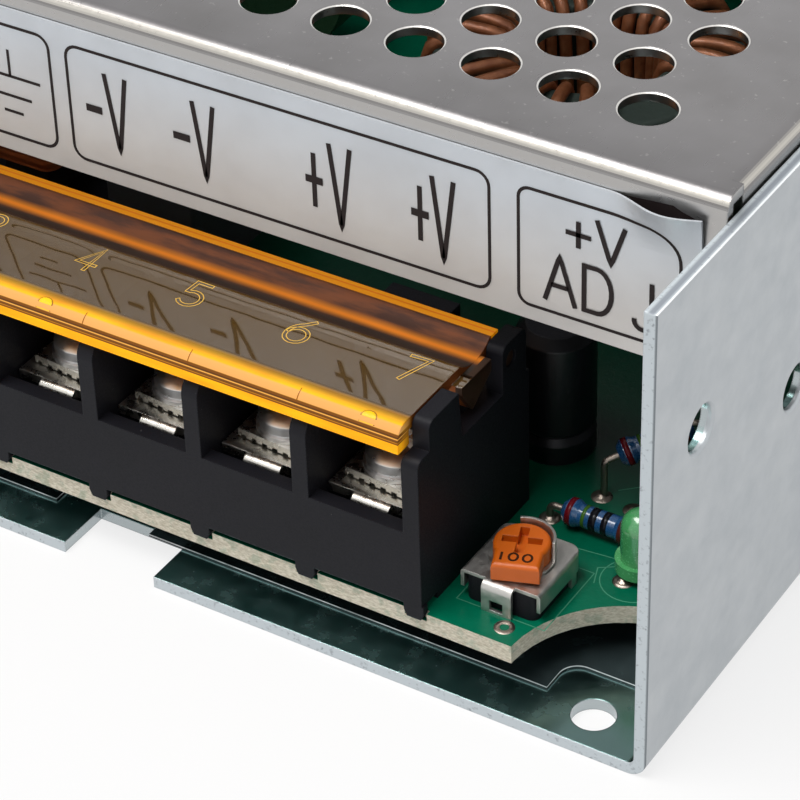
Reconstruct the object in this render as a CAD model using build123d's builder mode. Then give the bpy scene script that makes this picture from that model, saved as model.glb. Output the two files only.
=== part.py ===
"""Enclosed switching power supply with a seven-way screw terminal strip.

X runs across the case, Y from the terminal side (low) to the rear, Z up.
The origin is at the centre of the base plate's underside.
Insets run in from a side wall's outside, depths back from the front edge.
"""

import os
from math import cos, radians, sin

from build123d import *

# Case
width = 98.0
length = 159.0
height = 42.0
wall_drop = 1.6
base_sheet = 1.0
base_bend = 1.6
cover_sheet = 0.8
cover_bend = 1.1
cover_slip = 0.15
cover_setback = 12.0
cover_rear_gap = 0.3
front_flange_drop = 12.4
side_flange_drop = 12.0
corner_relief = 2.3

# Case openings
mount_radius = 1.7
mount_inset = 6.0
mount_depth = 3.2
mount_rear_gap = 5.8
wall_hole_radius = 1.8
wall_hole_flare = 0.2
wall_hole_spots = [(6.9, 26.8), (21.9, 20.7), (136.9, 20.7)]
notch_width = 8.5
notch_depth = 4.8
notch_offset = 1.9
vent_radius = 2.25
vent_pitch = 6.3
vent_rows_apart = 5.33
vent_first_row = 7.6
vent_columns = 13
vent_rows = 11
cover_screw_depth = 34.0
cover_screw_rear_gap = 19.0
cover_screw_drop = 7.0
cover_screw_radius = 1.5
cover_screw_head_radius = 2.8
cover_screw_play = 0.05

# Label on the front flange
label_thickness = 0.25
label_height = 12.7
label_top_gap = 1.95
label_side_gap = 1.65
label_corner = 0.8

# Circuit board
board_thickness = 1.6
board_lift = 3.45
board_front_gap = 1.7
board_side_gap = 0.35
board_rear_gap = 9.5
board_corner_inset = 12.0
board_corner_straight = 0.3
board_corner_depth = 10.9
board_corner_radius = 9.6
film_thickness = 0.25
film_front_gap = 3.9
film_side_gap = 0.1
film_corner_inset = 10.3
film_corner_depth = 7.3
film_corner_radius = 1.6
film_notch = (46.0, 55.0)
film_notch_depth = 7.5
post_radius = 3.0
post_inset = 6.5
post_depth = 53.0
post_rear_gap = 16.0
middle_post = (58.0, 72.0)
board_hole_radius = 1.6
board_screw_radius = 1.5
board_screw_head_radius = 2.8
board_screw_head = 1.8

# Terminal block: rises above the board, setbacks behind the block's front
ways = 7
pitch = 9.5
block_inset = 19.4
divider = 1.4
block_setback = 1.45
block_depth = 15.75
block_lift = 0.6
sill_rise = 7.2
sill_thickness = 1.3
seat_rise = 6.35
cell_depth = 10.95
back_rise = 12.35
divider_rise = 14.05
divider_round = 1.5
tooth_width = 1.7
tooth_drop = 0.55
tooth_depth = 0.6
tooth_clearance = 0.1
tooth_slant = 0.25
foot_depth = 2.0
ear_drop = 0.1
front_ear_setback = 1.65
front_ear_length = 4.1
front_ear_slope = 0.4
rear_ear_inset = 0.4
rear_ear_length = 3.4
ear_round = 0.7
well_play = 0.5
pocket_play = 0.2
contact_thickness = 0.8
contact_side_play = 0.15
contact_setback = 2.45
contact_length = 7.7
tab_width = 3.2
tab_reach = 0.7
tab_drop = 3.2
pin_width = 1.2
pin_inset = 0.6

# Terminal screws and clamp plates
screw_setback = 6.15
thread_radius = 1.75
thread_clearance = 0.06
screw_head_radius = 2.5
screw_head_side = 0.9
screw_head_dome = 0.6
screw_head_round = 0.35
screw_head_edge = 0.2
screw_length = 7.0
washer_radius = 2.7
washer_thickness = 0.45
washer_edge = 0.1
recess_width = 0.9
recess_length = 3.2
recess_depth = 0.9
clamp_size = 6.0
clamp_thickness = 0.7
clamp_gap = 0.1
clamp_turn = -5.0
clamp_offset = 0.3
clamp_teeth = 6
clamp_tooth = 0.22
head_gap = 0.02

# Flip cover over the terminals: drops below its top, reaches from its pivot
flip_plate = 1.0
flip_overhang = 0.15
flip_lip_gap = 0.25
flip_lip_drop = 2.25
flip_lip_thickness = 1.5
flip_lip_round = 1.2
flip_flat_reach = 4.7
flip_trough = 0.8
flip_rib_front = 0.4
flip_rib_back = 0.7
flip_rib_drop = 2.4
flip_side_gap = 0.1
pivot_inset = 1.2
pivot_drop = 1.65
pivot_radius = 0.65
pivot_clearance = 0.05
pivot_end_gap = 0.2
lug_front_reach = 6.0
lug_rear_reach = 1.8
lug_tip_reach = 4.5
lug_front_drop = 1.4
lug_rear_drop = 1.8
lug_tip_drop = 3.6
lug_width = 0.9
lug_root = 0.5

# Adjuster
trim_inset = 14.75
trim_depth = 8.1
trim_width = 6.0
trim_length = 6.5
trim_corner = 0.7
trim_height = 2.3
plate_thickness = 0.3
plate_hole_play = 0.3
plate_corner = 1.1
skirt_drop = 1.3
skirt_gap = 0.05
tab_front_width = 2.5
tab_front_root = 1.2
tab_front_gap = 0.35
tab_front_bend = 0.6
tab_window = 1.1
tab_window_height = 0.9
tab_window_rise = 0.7
side_pin_width = 0.7
knob_radius = 2.15
knob_height = 1.45
knob_gap = 0.05
knob_edge = 0.35
knob_block_width = 3.6
knob_block_reach = 3.1
knob_turn = 20.0
knob_slot_width = 0.7
knob_slot_length = 3.0
knob_slot_depth = 0.8
knob_axle_radius = 0.9
knob_axle_clearance = 0.05
knob_axle_depth = 1.2
knob_axle_end_gap = 0.3
wiper_sheet = 0.2
wiper_radius = 2.5
wiper_height = 1.7
wiper_start = 13.0
wiper_sweep = 110.0

# Small parts near the adjuster
led_inset = 7.9
led_depth = 13.6
led_radius = 1.5
led_flange_radius = 1.9
led_flange_height = 1.0
led_lift = 0.6
led_body = 3.8
led_lead = 0.45
led_lead_pitch = 2.54
resistor_radius = 0.9
resistor_bulge = 1.12
resistor_length = 6.0
resistor_nose = 0.7
resistor_nose_length = 0.45
resistor_bulge_end = 1.05
resistor_neck_end = 1.45
resistor_lead = 0.28
resistor_inset = 12.6
resistor_depth = 16.0
resistor_lift = 0.25
resistor_span = 8.6
leaning_foot_inset = 14.6
leaning_foot_depth = 20.3
leaning_lift = 3.4
leaning_rise = 20.0
leaning_heading = 42.0
leaning_low_run = 1.2
leaning_high_run = 0.8

# Power parts nearer the right wall, as right insets and depths
small_cap_spot = (21.2, 24.6)
small_cap_radius = 3.15
small_cap_height = 11.5
output_cap_spots = [(15.0, 66.0), (15.0, 77.5), (15.0, 89.0)]
output_cap_radius = 5.0
output_cap_height = 20.0
cap_groove = 0.5
cap_groove_lift = 2.2
cap_edge = 0.8
toroid_spot = (38.0, 60.0)
toroid_inner = 7.25
toroid_outer = 13.45
toroid_width = 11.1
toroid_round = 0.6
winding_build = 1.5
winding_clearance = 0.1
winding_arc = 300.0
core_spot = (38.0, 116.0)
core_size = (36.0, 34.0, 29.0)
core_leg = 10.0
core_window = 6.8
bobbin_wall = 1.0
bobbin_play = 0.2
winding_wrap = 4.6
winding_bulge = 4.0
winding_round = 3.0
winding_gap = 0.3
chip_spots = [(38.0, 28.0), (34.0, 92.0)]
chip_size = (6.4, 9.6, 3.4)
y_cap_spots = [(55.0, 88.0), (55.0, 94.0)]
y_cap_radius = 4.0
y_cap_thickness = 3.0

# Power parts nearer the left wall, as left insets and depths
input_cap_spots = [(17.0, 93.0), (17.0, 116.5)]
input_cap_radius = 11.0
input_cap_height = 30.0
choke_spot = (21.5, 40.0)
choke_size = (17.0, 20.0, 17.0)
choke_bar = 4.5
choke_coil_build = 2.6
choke_base_round = 1.5
choke_coil_round = 1.2
choke_play = 0.1
x_cap_spot = (36.0, 37.0)
x_cap_size = (8.5, 18.0, 15.0)
x_cap_edge = 0.6
fuse_spot = (8.5, 31.0)
fuse_radius = 2.5
fuse_length = 20.0
fuse_lift = 1.2
fuse_clip_length = 4.0
fuse_clip_sheet = 0.5
fuse_clip_play = 0.05
fuse_clip_grip = 1.4
thermistor_spot = (26.0, 66.0)
thermistor_radius = 6.0
thermistor_thickness = 4.5
disc_lift = 1.5
disc_leg_radius = 0.35
bridge_spot = (18.0, 78.0)
bridge_size = (21.0, 3.6, 18.0)
bridge_corner = 2.0

# Heat bars on both walls and the devices on them
bar_thickness = 3.0
bar_gap = 0.95
bar_lift = 3.0
bar_start = 62.0
bar_end = 108.0
device_size = (4.6, 10.2, 15.6)
device_tab = (1.3, 10.2, 6.4)
right_device_depths = [70.0, 84.0, 98.0]
left_device_depths = [70.0]
device_lift = 3.5
device_legs = (0.8, 6.0)

join = 0.1
match = 0.01

front = -length / 2
rear = length / 2
right = width / 2
wall_height = height - wall_drop
board_bottom = base_sheet + board_lift
board_top = board_bottom + board_thickness
block_width = ways * pitch + divider
block_right = right - block_inset
block_left = block_right - block_width
block_low = board_top + block_lift
block_front = front + block_setback
block_back = block_front + block_depth
way_centres = [block_right - (divider + pitch) / 2 - pitch * n for n in range(ways)][::-1]
wall_lines = [block_right - divider / 2 - pitch * n for n in range(ways + 1)]
seat = board_top + seat_rise
divider_top = board_top + divider_rise
screw_y = block_front + screw_setback
contact_front = block_front + contact_setback
contact_back = contact_front + contact_length
contact_top = seat + contact_thickness
clamp_bottom = contact_top + clamp_gap
washer_bottom = clamp_bottom + clamp_thickness + head_gap
rear_ear_back = block_back - rear_ear_inset
rear_ear_front = rear_ear_back - rear_ear_length
flip_bottom = divider_top + flip_lip_gap
flip_top = flip_bottom + flip_lip_drop
pivot_y = rear_ear_front + pivot_inset
pivot_z = flip_top - pivot_drop
cover_half = right - base_sheet - cover_slip
cover_front = front + cover_setback
cover_rear = rear - cover_rear_gap
cover_screw_z = height - cover_screw_drop
cover_screw_lines = [front + cover_screw_depth, rear - cover_screw_rear_gap]

on_base = (Align.CENTER, Align.CENTER, Align.MIN)
hung = (Align.CENTER, Align.CENTER, Align.MAX)


def save(builder, name):
    builder.part.label = name
    export_step(builder.part, f"parts/{name}.step")


def right_spot(inset, depth):
    return right - inset, front + depth


def left_spot(inset, depth):
    return inset - right, front + depth


def side_plane(x):
    """Local x along +Y and local y along +Z, facing +X."""
    return Plane(origin=(x, 0, 0), x_dir=(0, 1, 0), z_dir=(1, 0, 0))


def both_sides(inset, lines):
    return [(side * (right - inset), y) for side in (1, -1) for y in lines]


def post_places():
    outer = both_sides(post_inset, [front + post_depth, rear - post_rear_gap])
    return [*outer, right_spot(*middle_post)]


def outline_sketch(plane, half, front_y, rear_y, corner_x, corner_y, rounding):
    """A film outline with both front corners stepped round the mounting holes."""
    with BuildSketch(plane) as sketch:
        with Locations((0, (front_y + rear_y) / 2)):
            Rectangle(2 * half, rear_y - front_y)
        for side in (1, -1):
            with Locations((side * (half + corner_x) / 2, (front_y + corner_y) / 2)):
                Rectangle(half - corner_x, corner_y - front_y, mode=Mode.SUBTRACT)
        inner = sketch.vertices().filter_by(
            lambda v: abs(abs(v.X) - corner_x) < match and abs(v.Y - corner_y) < match
        )
        fillet(inner, rounding)
    return sketch.sketch


def chassis_section():
    """A U of folded sheet: the base and both side walls."""
    with BuildSketch(Plane.XZ) as section:
        Rectangle(width, wall_height, align=(Align.CENTER, Align.MIN))
        fillet(section.vertices().group_by(Axis.Y)[0], base_bend)
        with Locations((0, base_sheet)):
            Rectangle(
                width - 2 * base_sheet,
                wall_height,
                align=(Align.CENTER, Align.MIN),
                mode=Mode.SUBTRACT,
            )
        inner = section.vertices().filter_by(lambda v: abs(v.Y - base_sheet) < match)
        fillet(inner, base_bend - base_sheet)
    return section.sketch


def make_chassis():
    with BuildPart() as chassis:
        extrude(chassis_section(), amount=length / 2, both=True)
        with Locations((notch_offset, front + notch_depth / 2, base_sheet / 2)):
            Box(notch_width, notch_depth, 2 * base_sheet, mode=Mode.SUBTRACT)
        with BuildSketch() as mounts:
            with Locations(*both_sides(mount_inset, [front + mount_depth, rear - mount_rear_gap])):
                Circle(mount_radius)
        extrude(amount=base_sheet, mode=Mode.SUBTRACT)
        for side in (1, -1):
            with BuildSketch(side_plane(side * right)) as holes:
                with Locations(*[(front + y, z) for y, z in wall_hole_spots]):
                    Circle(wall_hole_radius)
            extrude(amount=-side * base_sheet, mode=Mode.SUBTRACT)
            cut_countersinks(side)
        rims = (
            chassis.edges()
            .filter_by(GeomType.CIRCLE)
            .filter_by(lambda e: abs(e.radius - wall_hole_radius) < match)
            .filter_by(lambda e: abs(abs(e.center().X) - right) < match)
        )
        chamfer(rims, wall_hole_flare)
    save(chassis, "chassis")


def cut_countersinks(side):
    """Countersunk holes for the cover's screws in one side wall."""
    for y in cover_screw_lines:
        place = side_plane(side * right).shift_origin((side * right, y, cover_screw_z))
        with BuildSketch(place) as wide:
            Circle(cover_screw_head_radius + cover_screw_play)
        with BuildSketch(place.offset(-side * base_sheet)) as narrow:
            Circle(cover_screw_radius + cover_screw_play)
        loft([wide.sketch.face(), narrow.sketch.face()], mode=Mode.SUBTRACT)


def cover_side_profile(side):
    """The bent edge between the cover's top and one side flange."""
    reach = 2 * cover_bend
    middle = height - side_flange_drop / 2
    with BuildSketch(Plane.XZ) as profile:
        with Locations((side * (cover_half - reach / 2), middle)):
            Rectangle(reach, side_flange_drop)
        outer = profile.vertices().group_by(Axis.Y)[-1].sort_by(Axis.X)[-1 if side > 0 else 0]
        fillet(outer, cover_bend)
        with Locations((side * (cover_half - cover_sheet - reach / 2), middle - cover_sheet)):
            Rectangle(reach, side_flange_drop, mode=Mode.SUBTRACT)
    return profile.sketch


def cover_section():
    """The front flange, top and rear flange in one folded section."""
    rear_flange = height - base_sheet - cover_rear_gap
    top_corner = (Align.MIN, Align.MAX)
    with BuildSketch(side_plane(0)) as section:
        with Locations((cover_front, height)):
            Rectangle(cover_rear - cover_front, rear_flange, align=top_corner)
        fillet(section.vertices().group_by(Axis.Y)[-1], cover_bend)
        inside = cover_rear - cover_front - 2 * cover_sheet
        with Locations((cover_front + cover_sheet, height - cover_sheet)):
            Rectangle(inside, rear_flange, align=top_corner, mode=Mode.SUBTRACT)
        with Locations((cover_front, height - front_flange_drop)):
            Rectangle(cover_sheet, rear_flange, align=top_corner, mode=Mode.SUBTRACT)
    return section.sketch


def make_cover():
    flange_start = cover_front + corner_relief
    flange_end = cover_rear - corner_relief
    flange = flange_end - flange_start
    with BuildPart() as cover:
        extrude(cover_section(), amount=cover_half, both=True)
        for side in (1, -1):
            with Locations((side * cover_half, (flange_start + flange_end) / 2, height)):
                Box(2 * cover_bend, flange, 2 * cover_bend, mode=Mode.SUBTRACT)
            profile = cover_side_profile(side).moved(Location((0, flange_end, 0)))
            extrude(profile, amount=flange)
        cut_vents()
        with BuildSketch(side_plane(-cover_half)) as screws:
            with Locations(*[(y, cover_screw_z) for y in cover_screw_lines]):
                Circle(cover_screw_radius + cover_screw_play)
        extrude(amount=2 * cover_half, mode=Mode.SUBTRACT)
    save(cover, "cover")


def cut_vents():
    """Staggered rows of round holes, every second row half a pitch in."""
    first = cover_front + vent_first_row
    for start, columns in ((0, vent_columns), (1, vent_columns - 1)):
        rows = len(range(start, vent_rows, 2))
        middle = first + (start + rows - 1) * vent_rows_apart
        with BuildSketch(Plane.XY.offset(height - 2 * cover_sheet)) as holes:
            with Locations((0, middle)):
                with GridLocations(vent_pitch, 2 * vent_rows_apart, columns, rows):
                    Circle(vent_radius)
        extrude(holes.sketch, amount=3 * cover_sheet, mode=Mode.SUBTRACT)


def make_label():
    top = height - label_top_gap
    with BuildPart() as label:
        with BuildSketch(Plane.XZ.offset(-cover_front)) as face:
            with Locations((0, top - label_height / 2)):
                RectangleRounded(2 * (cover_half - label_side_gap), label_height, label_corner)
        extrude(amount=label_thickness)
    save(label, "label")


def make_film():
    with BuildPart() as film:
        sketch = outline_sketch(
            Plane.XY.offset(base_sheet),
            right - base_bend - film_side_gap,
            front + film_front_gap,
            rear - board_rear_gap,
            right - film_corner_inset,
            front + film_corner_depth,
            film_corner_radius,
        )
        extrude(sketch, amount=film_thickness)
        near, far = film_notch
        with BuildSketch(Plane.XY.offset(base_sheet)) as posts:
            with Locations(right_spot((near + far) / 2, 0)):
                Rectangle(far - near, 2 * film_notch_depth)
            with Locations(*post_places()):
                Circle(post_radius + board_side_gap)
        extrude(amount=film_thickness, mode=Mode.SUBTRACT)
    save(film, "insulating_film")


def board_face():
    """The board's outline, its front corners cut in an inward curve."""
    half = right - base_sheet - board_side_gap
    front_y, rear_y = front + board_front_gap, rear - board_rear_gap
    corner = right - board_corner_inset
    straight, back = front_y + board_corner_straight, front + board_corner_depth
    with BuildSketch(Plane.XY.offset(board_bottom)) as face:
        with BuildLine():
            Line((0, front_y), (corner, front_y))
            Line((corner, front_y), (corner, straight))
            RadiusArc((corner, straight), (half, back), board_corner_radius)
            Line((half, back), (half, rear_y))
            Line((half, rear_y), (0, rear_y))
            Line((0, rear_y), (0, front_y))
        make_face()
        mirror(about=Plane.YZ)
    return face.sketch


def make_board():
    slot_end = block_front + tooth_depth + tooth_clearance
    slot_depth = slot_end - front - board_front_gap
    with BuildPart() as board:
        extrude(board_face(), amount=board_thickness)
        with BuildSketch(Plane.XY.offset(board_bottom)) as holes:
            with Locations(*post_places()):
                Circle(board_hole_radius)
        extrude(amount=board_thickness, mode=Mode.SUBTRACT)
        with BuildSketch(Plane.XY.offset(board_top)) as slots:
            with Locations(*[(x, slot_end - slot_depth) for x in wall_lines]):
                Rectangle(tooth_width + 2 * tooth_clearance, 2 * slot_depth)
        extrude(amount=-tooth_drop - tooth_clearance, mode=Mode.SUBTRACT)
    save(board, "circuit_board")


def make_posts():
    with BuildPart() as posts:
        with Locations(*[(*place, base_sheet) for place in post_places()]):
            Cylinder(post_radius, board_lift, align=on_base)
            Hole(board_hole_radius)
    save(posts, "standoffs")
    shank = board_thickness + board_lift / 2
    with BuildPart() as screws:
        with Locations(*[(*place, board_top) for place in post_places()]):
            Cylinder(board_screw_head_radius, board_screw_head, align=on_base)
        fillet(screws.edges().group_by(Axis.Z)[-1], board_screw_head / 2)
        with Locations(*[(*place, board_top) for place in post_places()]):
            Cylinder(board_screw_radius, shank, align=hung)
            with Locations((0, 0, board_screw_head)):
                Box(recess_length, recess_width, board_screw_head, mode=Mode.SUBTRACT)
                Box(recess_width, recess_length, board_screw_head, mode=Mode.SUBTRACT)
    save(screws, "board_screws")


def make_cover_screws():
    """Countersunk screws through the side walls into the cover's flanges."""
    with BuildPart() as screws:
        for side in (1, -1):
            for y in cover_screw_lines:
                place = side_plane(side * right).shift_origin((side * right, y, cover_screw_z))
                with BuildSketch(place):
                    Circle(cover_screw_head_radius)
                with BuildSketch(place.offset(-side * base_sheet)):
                    Circle(cover_screw_radius)
                loft()
                with BuildSketch(place):
                    Circle(cover_screw_radius)
                extrude(amount=-side * (base_sheet + cover_slip + cover_sheet))
    save(screws, "cover_screws")


def divider_profile(plane):
    """The face of one divider: straight front, rounded top corner."""
    with BuildSketch(plane) as profile:
        with Locations((block_front, block_low)):
            Rectangle(cell_depth, divider_top - block_low, align=Align.MIN)
        corner = profile.vertices().group_by(Axis.Y)[-1].sort_by(Axis.X)[0]
        fillet(corner, divider_round)
    return profile.sketch


def end_wall_profile(plane):
    """The end wall with its two ears and the saddle between them."""
    step = divider_top - ear_drop
    ear_top = flip_top - ear_drop
    saddle = board_top + back_rise
    ear0 = block_front + front_ear_setback
    ear1 = ear0 + front_ear_length
    with BuildSketch(plane) as profile:
        with BuildLine():
            Polyline(
                (block_front, block_low),
                (block_back, block_low),
                (block_back, saddle),
                (rear_ear_back, saddle),
                (rear_ear_back, ear_top),
                (rear_ear_front, ear_top),
                (rear_ear_front, saddle),
                (ear1 + front_ear_slope, saddle),
                (ear1, ear_top),
                (ear0, ear_top),
                (ear0, step),
                (block_front, step),
                close=True,
            )
        make_face()
        rounded = [
            (ear0, ear_top),
            (rear_ear_front, ear_top),
            (rear_ear_back, ear_top),
            (block_front, step),
        ]
        corners = profile.vertices().filter_by(
            lambda v: any(abs(v.X - a) + abs(v.Y - b) < match for a, b in rounded)
        )
        fillet(corners, ear_round)
        with Locations((pivot_y, pivot_z)):
            Circle(pivot_radius + pivot_clearance, mode=Mode.SUBTRACT)
    return profile.sketch


def block_profile(plane):
    """The block's body under the dividers: sill, seat and back wall."""
    sill, top = board_top + sill_rise, board_top + back_rise
    above = divider_top
    with BuildSketch(plane) as body:
        with Locations((block_front, block_low)):
            Rectangle(block_depth, top - block_low, align=Align.MIN)
        with Locations((block_front, sill)):
            Rectangle(cell_depth, above, align=Align.MIN, mode=Mode.SUBTRACT)
        with Locations((block_front + sill_thickness, seat)):
            Rectangle(cell_depth - sill_thickness, above, align=Align.MIN, mode=Mode.SUBTRACT)
    return body.sketch


def tooth_profile(x):
    """The face of one tooth: slanted sides under the block, down in the board's slot."""
    half, end = tooth_width / 2, tooth_width / 2 - tooth_slant
    with BuildSketch(Plane.XZ.offset(-block_front)) as face:
        with BuildLine():
            Polyline(
                (x - half, block_low + join),
                (x - half, board_top),
                (x - end, board_top - tooth_drop),
                (x + end, board_top - tooth_drop),
                (x + half, board_top),
                (x + half, block_low + join),
                close=True,
            )
        make_face()
    return face.sketch


def make_terminal_block():
    foot_inset = block_front + board_front_gap + foot_depth - block_setback
    with BuildPart() as block:
        extrude(block_profile(side_plane(block_left)), amount=block_width)
        for x in wall_lines[1:-1]:
            extrude(divider_profile(side_plane(x - divider / 2)), amount=divider)
        for x in (wall_lines[0], wall_lines[-1]):
            extrude(end_wall_profile(side_plane(x - divider / 2)), amount=divider)
        for x in wall_lines:
            extrude(tooth_profile(x), amount=-tooth_depth)
        with BuildSketch(Plane.XY.offset(board_top)) as feet:
            with Locations(((block_left + block_right) / 2, block_back - foot_depth / 2)):
                Rectangle(block_width, foot_depth)
            with Locations(*[(x, (foot_inset + block_back) / 2) for x in wall_lines]):
                Rectangle(divider, block_back - foot_inset)
        extrude(amount=block_lift + join)
        cut_contact_pockets()
    save(block, "terminal_block")


def cut_contact_pockets():
    """Under each way: a well for the screw's end, a slot for the tab and one for the pin."""
    slot_front = block_front + sill_thickness
    slot = (pitch - divider, contact_front - slot_front + pocket_play, tab_drop + 2 * pocket_play)
    for x in way_centres:
        with Locations((x, screw_y, seat)):
            Cylinder(thread_radius + well_play, seat - board_top, align=hung, mode=Mode.SUBTRACT)
        with Locations((x, slot_front, seat)):
            Box(*slot, align=(Align.CENTER, Align.MIN, Align.MAX), mode=Mode.SUBTRACT)
        with Locations((x, contact_back - pin_inset, seat)):
            Box(
                pin_width + pocket_play,
                contact_thickness + pocket_play,
                2 * seat,
                mode=Mode.SUBTRACT,
            )


def contact_tab_profile(plane):
    """The tab bent down in front of the seat."""
    tab_front = contact_front - tab_reach
    with BuildSketch(plane) as tab:
        with Locations((tab_front, contact_top)):
            Rectangle(
                2 * contact_thickness, tab_drop + contact_thickness, align=(Align.MIN, Align.MAX)
            )
        fillet(tab.vertices().group_by(Axis.Y)[-1].sort_by(Axis.X)[0], contact_thickness)
        with Locations((tab_front + contact_thickness, seat)):
            Rectangle(
                2 * contact_thickness,
                2 * tab_drop,
                align=(Align.MIN, Align.MAX),
                mode=Mode.SUBTRACT,
            )
    return tab.sketch


def make_contacts():
    across = pitch - divider - 2 * contact_side_play
    with BuildPart() as contacts:
        for x in way_centres:
            with Locations((x, (contact_front + contact_back) / 2, seat)):
                Box(across, contact_length, contact_thickness, align=on_base)
            extrude(contact_tab_profile(side_plane(x - tab_width / 2)), amount=tab_width)
            with Locations((x, contact_back - pin_inset, seat)):
                Box(pin_width, contact_thickness, seat - board_top, align=hung)
            with Locations((x, screw_y, seat)):
                Cylinder(
                    thread_radius + thread_clearance, 4 * contact_thickness, mode=Mode.SUBTRACT
                )
    save(contacts, "terminal_contacts")


def make_clamp(number, x):
    step = clamp_size / clamp_teeth
    place = Location((x, screw_y + clamp_offset, clamp_bottom), (0, 0, clamp_turn))
    with BuildPart() as clamp:
        with Locations(place):
            Box(clamp_size, clamp_size, clamp_thickness, align=on_base)
            for n in range(clamp_teeth):
                with Locations(((n - (clamp_teeth - 1) / 2) * step, 0, 0)):
                    Box(step / 2, clamp_size, 2 * clamp_tooth, mode=Mode.SUBTRACT)
        with Locations((x, screw_y, clamp_bottom)):
            Cylinder(thread_radius + thread_clearance, 4 * clamp_thickness, mode=Mode.SUBTRACT)
    save(clamp, f"clamp_{number}")


def screw_profile(x):
    """Half the screw's section, its captive washer included."""
    side_bottom = washer_bottom + washer_thickness
    side_top = side_bottom + screw_head_side
    top = side_top + screw_head_dome
    lens = (x + screw_head_radius - screw_head_round, side_top + screw_head_dome / 2)
    end = side_bottom - screw_length
    with BuildSketch(Plane.XZ.offset(-screw_y)) as profile:
        with BuildLine():
            Polyline(
                (x, top),
                (x, end),
                (x + thread_radius, end),
                (x + thread_radius, washer_bottom),
                (x + washer_radius, washer_bottom),
                (x + washer_radius, side_bottom - washer_edge / 2),
                (x + screw_head_radius - screw_head_edge, side_bottom - washer_edge / 2),
                (x + screw_head_radius, side_bottom + washer_edge),
                (x + screw_head_radius, side_top),
            )
            ThreePointArc((x + screw_head_radius, side_top), lens, (x, top))
        make_face()
    return profile.sketch, top


def make_screw(number, x):
    with BuildPart() as screw:
        profile, top = screw_profile(x)
        revolve(profile, axis=Axis((x, screw_y, 0), (0, 0, 1)))
        with Locations((x, screw_y, top)):
            Box(recess_length, recess_width, 2 * recess_depth, mode=Mode.SUBTRACT)
            Box(recess_width, recess_length, 2 * recess_depth, mode=Mode.SUBTRACT)
    save(screw, f"screw_{number}")


def flip_profile(plane):
    """Lip, flat plate, shallow trough and rear rib, in one moulded section."""
    lip0 = block_front - flip_overhang
    lip1 = lip0 + flip_lip_thickness
    flat = pivot_y - flip_flat_reach
    rib0, rib1 = pivot_y - flip_rib_front, pivot_y + flip_rib_back
    under, dip = flip_top - flip_plate, flip_top - flip_trough
    rib_bottom = flip_top - flip_rib_drop
    middle = (flat + rib0) / 2
    with BuildSketch(plane) as profile:
        with BuildLine():
            Polyline((flat, flip_top), (lip0, flip_top), (lip0, flip_bottom))
            Polyline((lip0, flip_bottom), (lip1, flip_bottom), (lip1, under))
            Line((lip1, under), (flat, under))
            ThreePointArc((flat, under), (middle, dip - flip_plate), (rib0, under - join))
            Polyline((rib0, under - join), (rib0, rib_bottom), (rib1, rib_bottom))
            Polyline((rib1, rib_bottom), (rib1, flip_top), (rib0, flip_top))
            ThreePointArc((rib0, flip_top), (middle, dip), (flat, flip_top))
        make_face()
        corner = profile.vertices().group_by(Axis.Y)[-1].sort_by(Axis.X)[0]
        fillet(corner, flip_lip_round)
    return profile.sketch


def lug_profile(plane):
    """The finger lug in the saddle at each end of the flip cover."""
    lug0, lug1 = pivot_y - lug_front_reach, pivot_y - lug_rear_reach
    with BuildSketch(plane) as profile:
        with BuildLine():
            Polyline(
                (lug0, flip_top - flip_trough),
                (lug1, flip_top - flip_trough),
                (lug1, flip_top - lug_rear_drop),
                (pivot_y - lug_tip_reach, flip_top - lug_tip_drop),
                (lug0, flip_top - lug_front_drop),
                close=True,
            )
        make_face()
    return profile.sketch


def make_terminal_cover():
    inner_right = block_right - divider - flip_side_gap
    inner_left = block_left + divider + flip_side_gap
    pin = lug_root + flip_side_gap + divider - pivot_end_gap
    with BuildPart() as flip:
        extrude(flip_profile(side_plane(inner_left)), amount=inner_right - inner_left)
        for x, way in ((inner_right, 1), (inner_left, -1)):
            root = side_plane(x - way * lug_root)
            extrude(lug_profile(root), amount=way * (lug_width + lug_root))
            with BuildSketch(root) as axle:
                with Locations((pivot_y, pivot_z)):
                    Circle(pivot_radius)
            extrude(amount=way * pin)
    save(flip, "terminal_cover")


def make_trimmer():
    x, y = right_spot(trim_inset, trim_depth)
    top = board_top + trim_height
    bore = knob_axle_radius + knob_axle_clearance
    with BuildPart() as body:
        with Locations((x, y, board_top)):
            Box(trim_width, trim_length, trim_height, align=on_base)
        fillet(body.edges().filter_by(Axis.Z), trim_corner)
        with Locations((x, y, top)):
            Cylinder(bore, 2 * (knob_axle_depth + knob_axle_end_gap), mode=Mode.SUBTRACT)
    save(body, "trimmer_body")
    make_trimmer_bracket(x, y, top)
    make_trimmer_wiper(x, y, top)
    make_trimmer_knob(x, y, top)


def bracket_section(x, y, top):
    """The bracket's plate and its two side skirts."""
    half = trim_width / 2 + skirt_gap
    with BuildSketch(Plane.XZ.offset(-y)) as section:
        with Locations((x, top + plate_thickness)):
            Rectangle(
                2 * (half + plate_thickness),
                skirt_drop + plate_thickness,
                align=(Align.CENTER, Align.MAX),
            )
        fillet(section.vertices().group_by(Axis.Y)[-1], plate_thickness)
        with Locations((x, top)):
            Rectangle(2 * half, 2 * skirt_drop, align=(Align.CENTER, Align.MAX), mode=Mode.SUBTRACT)
    return section.sketch


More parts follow.
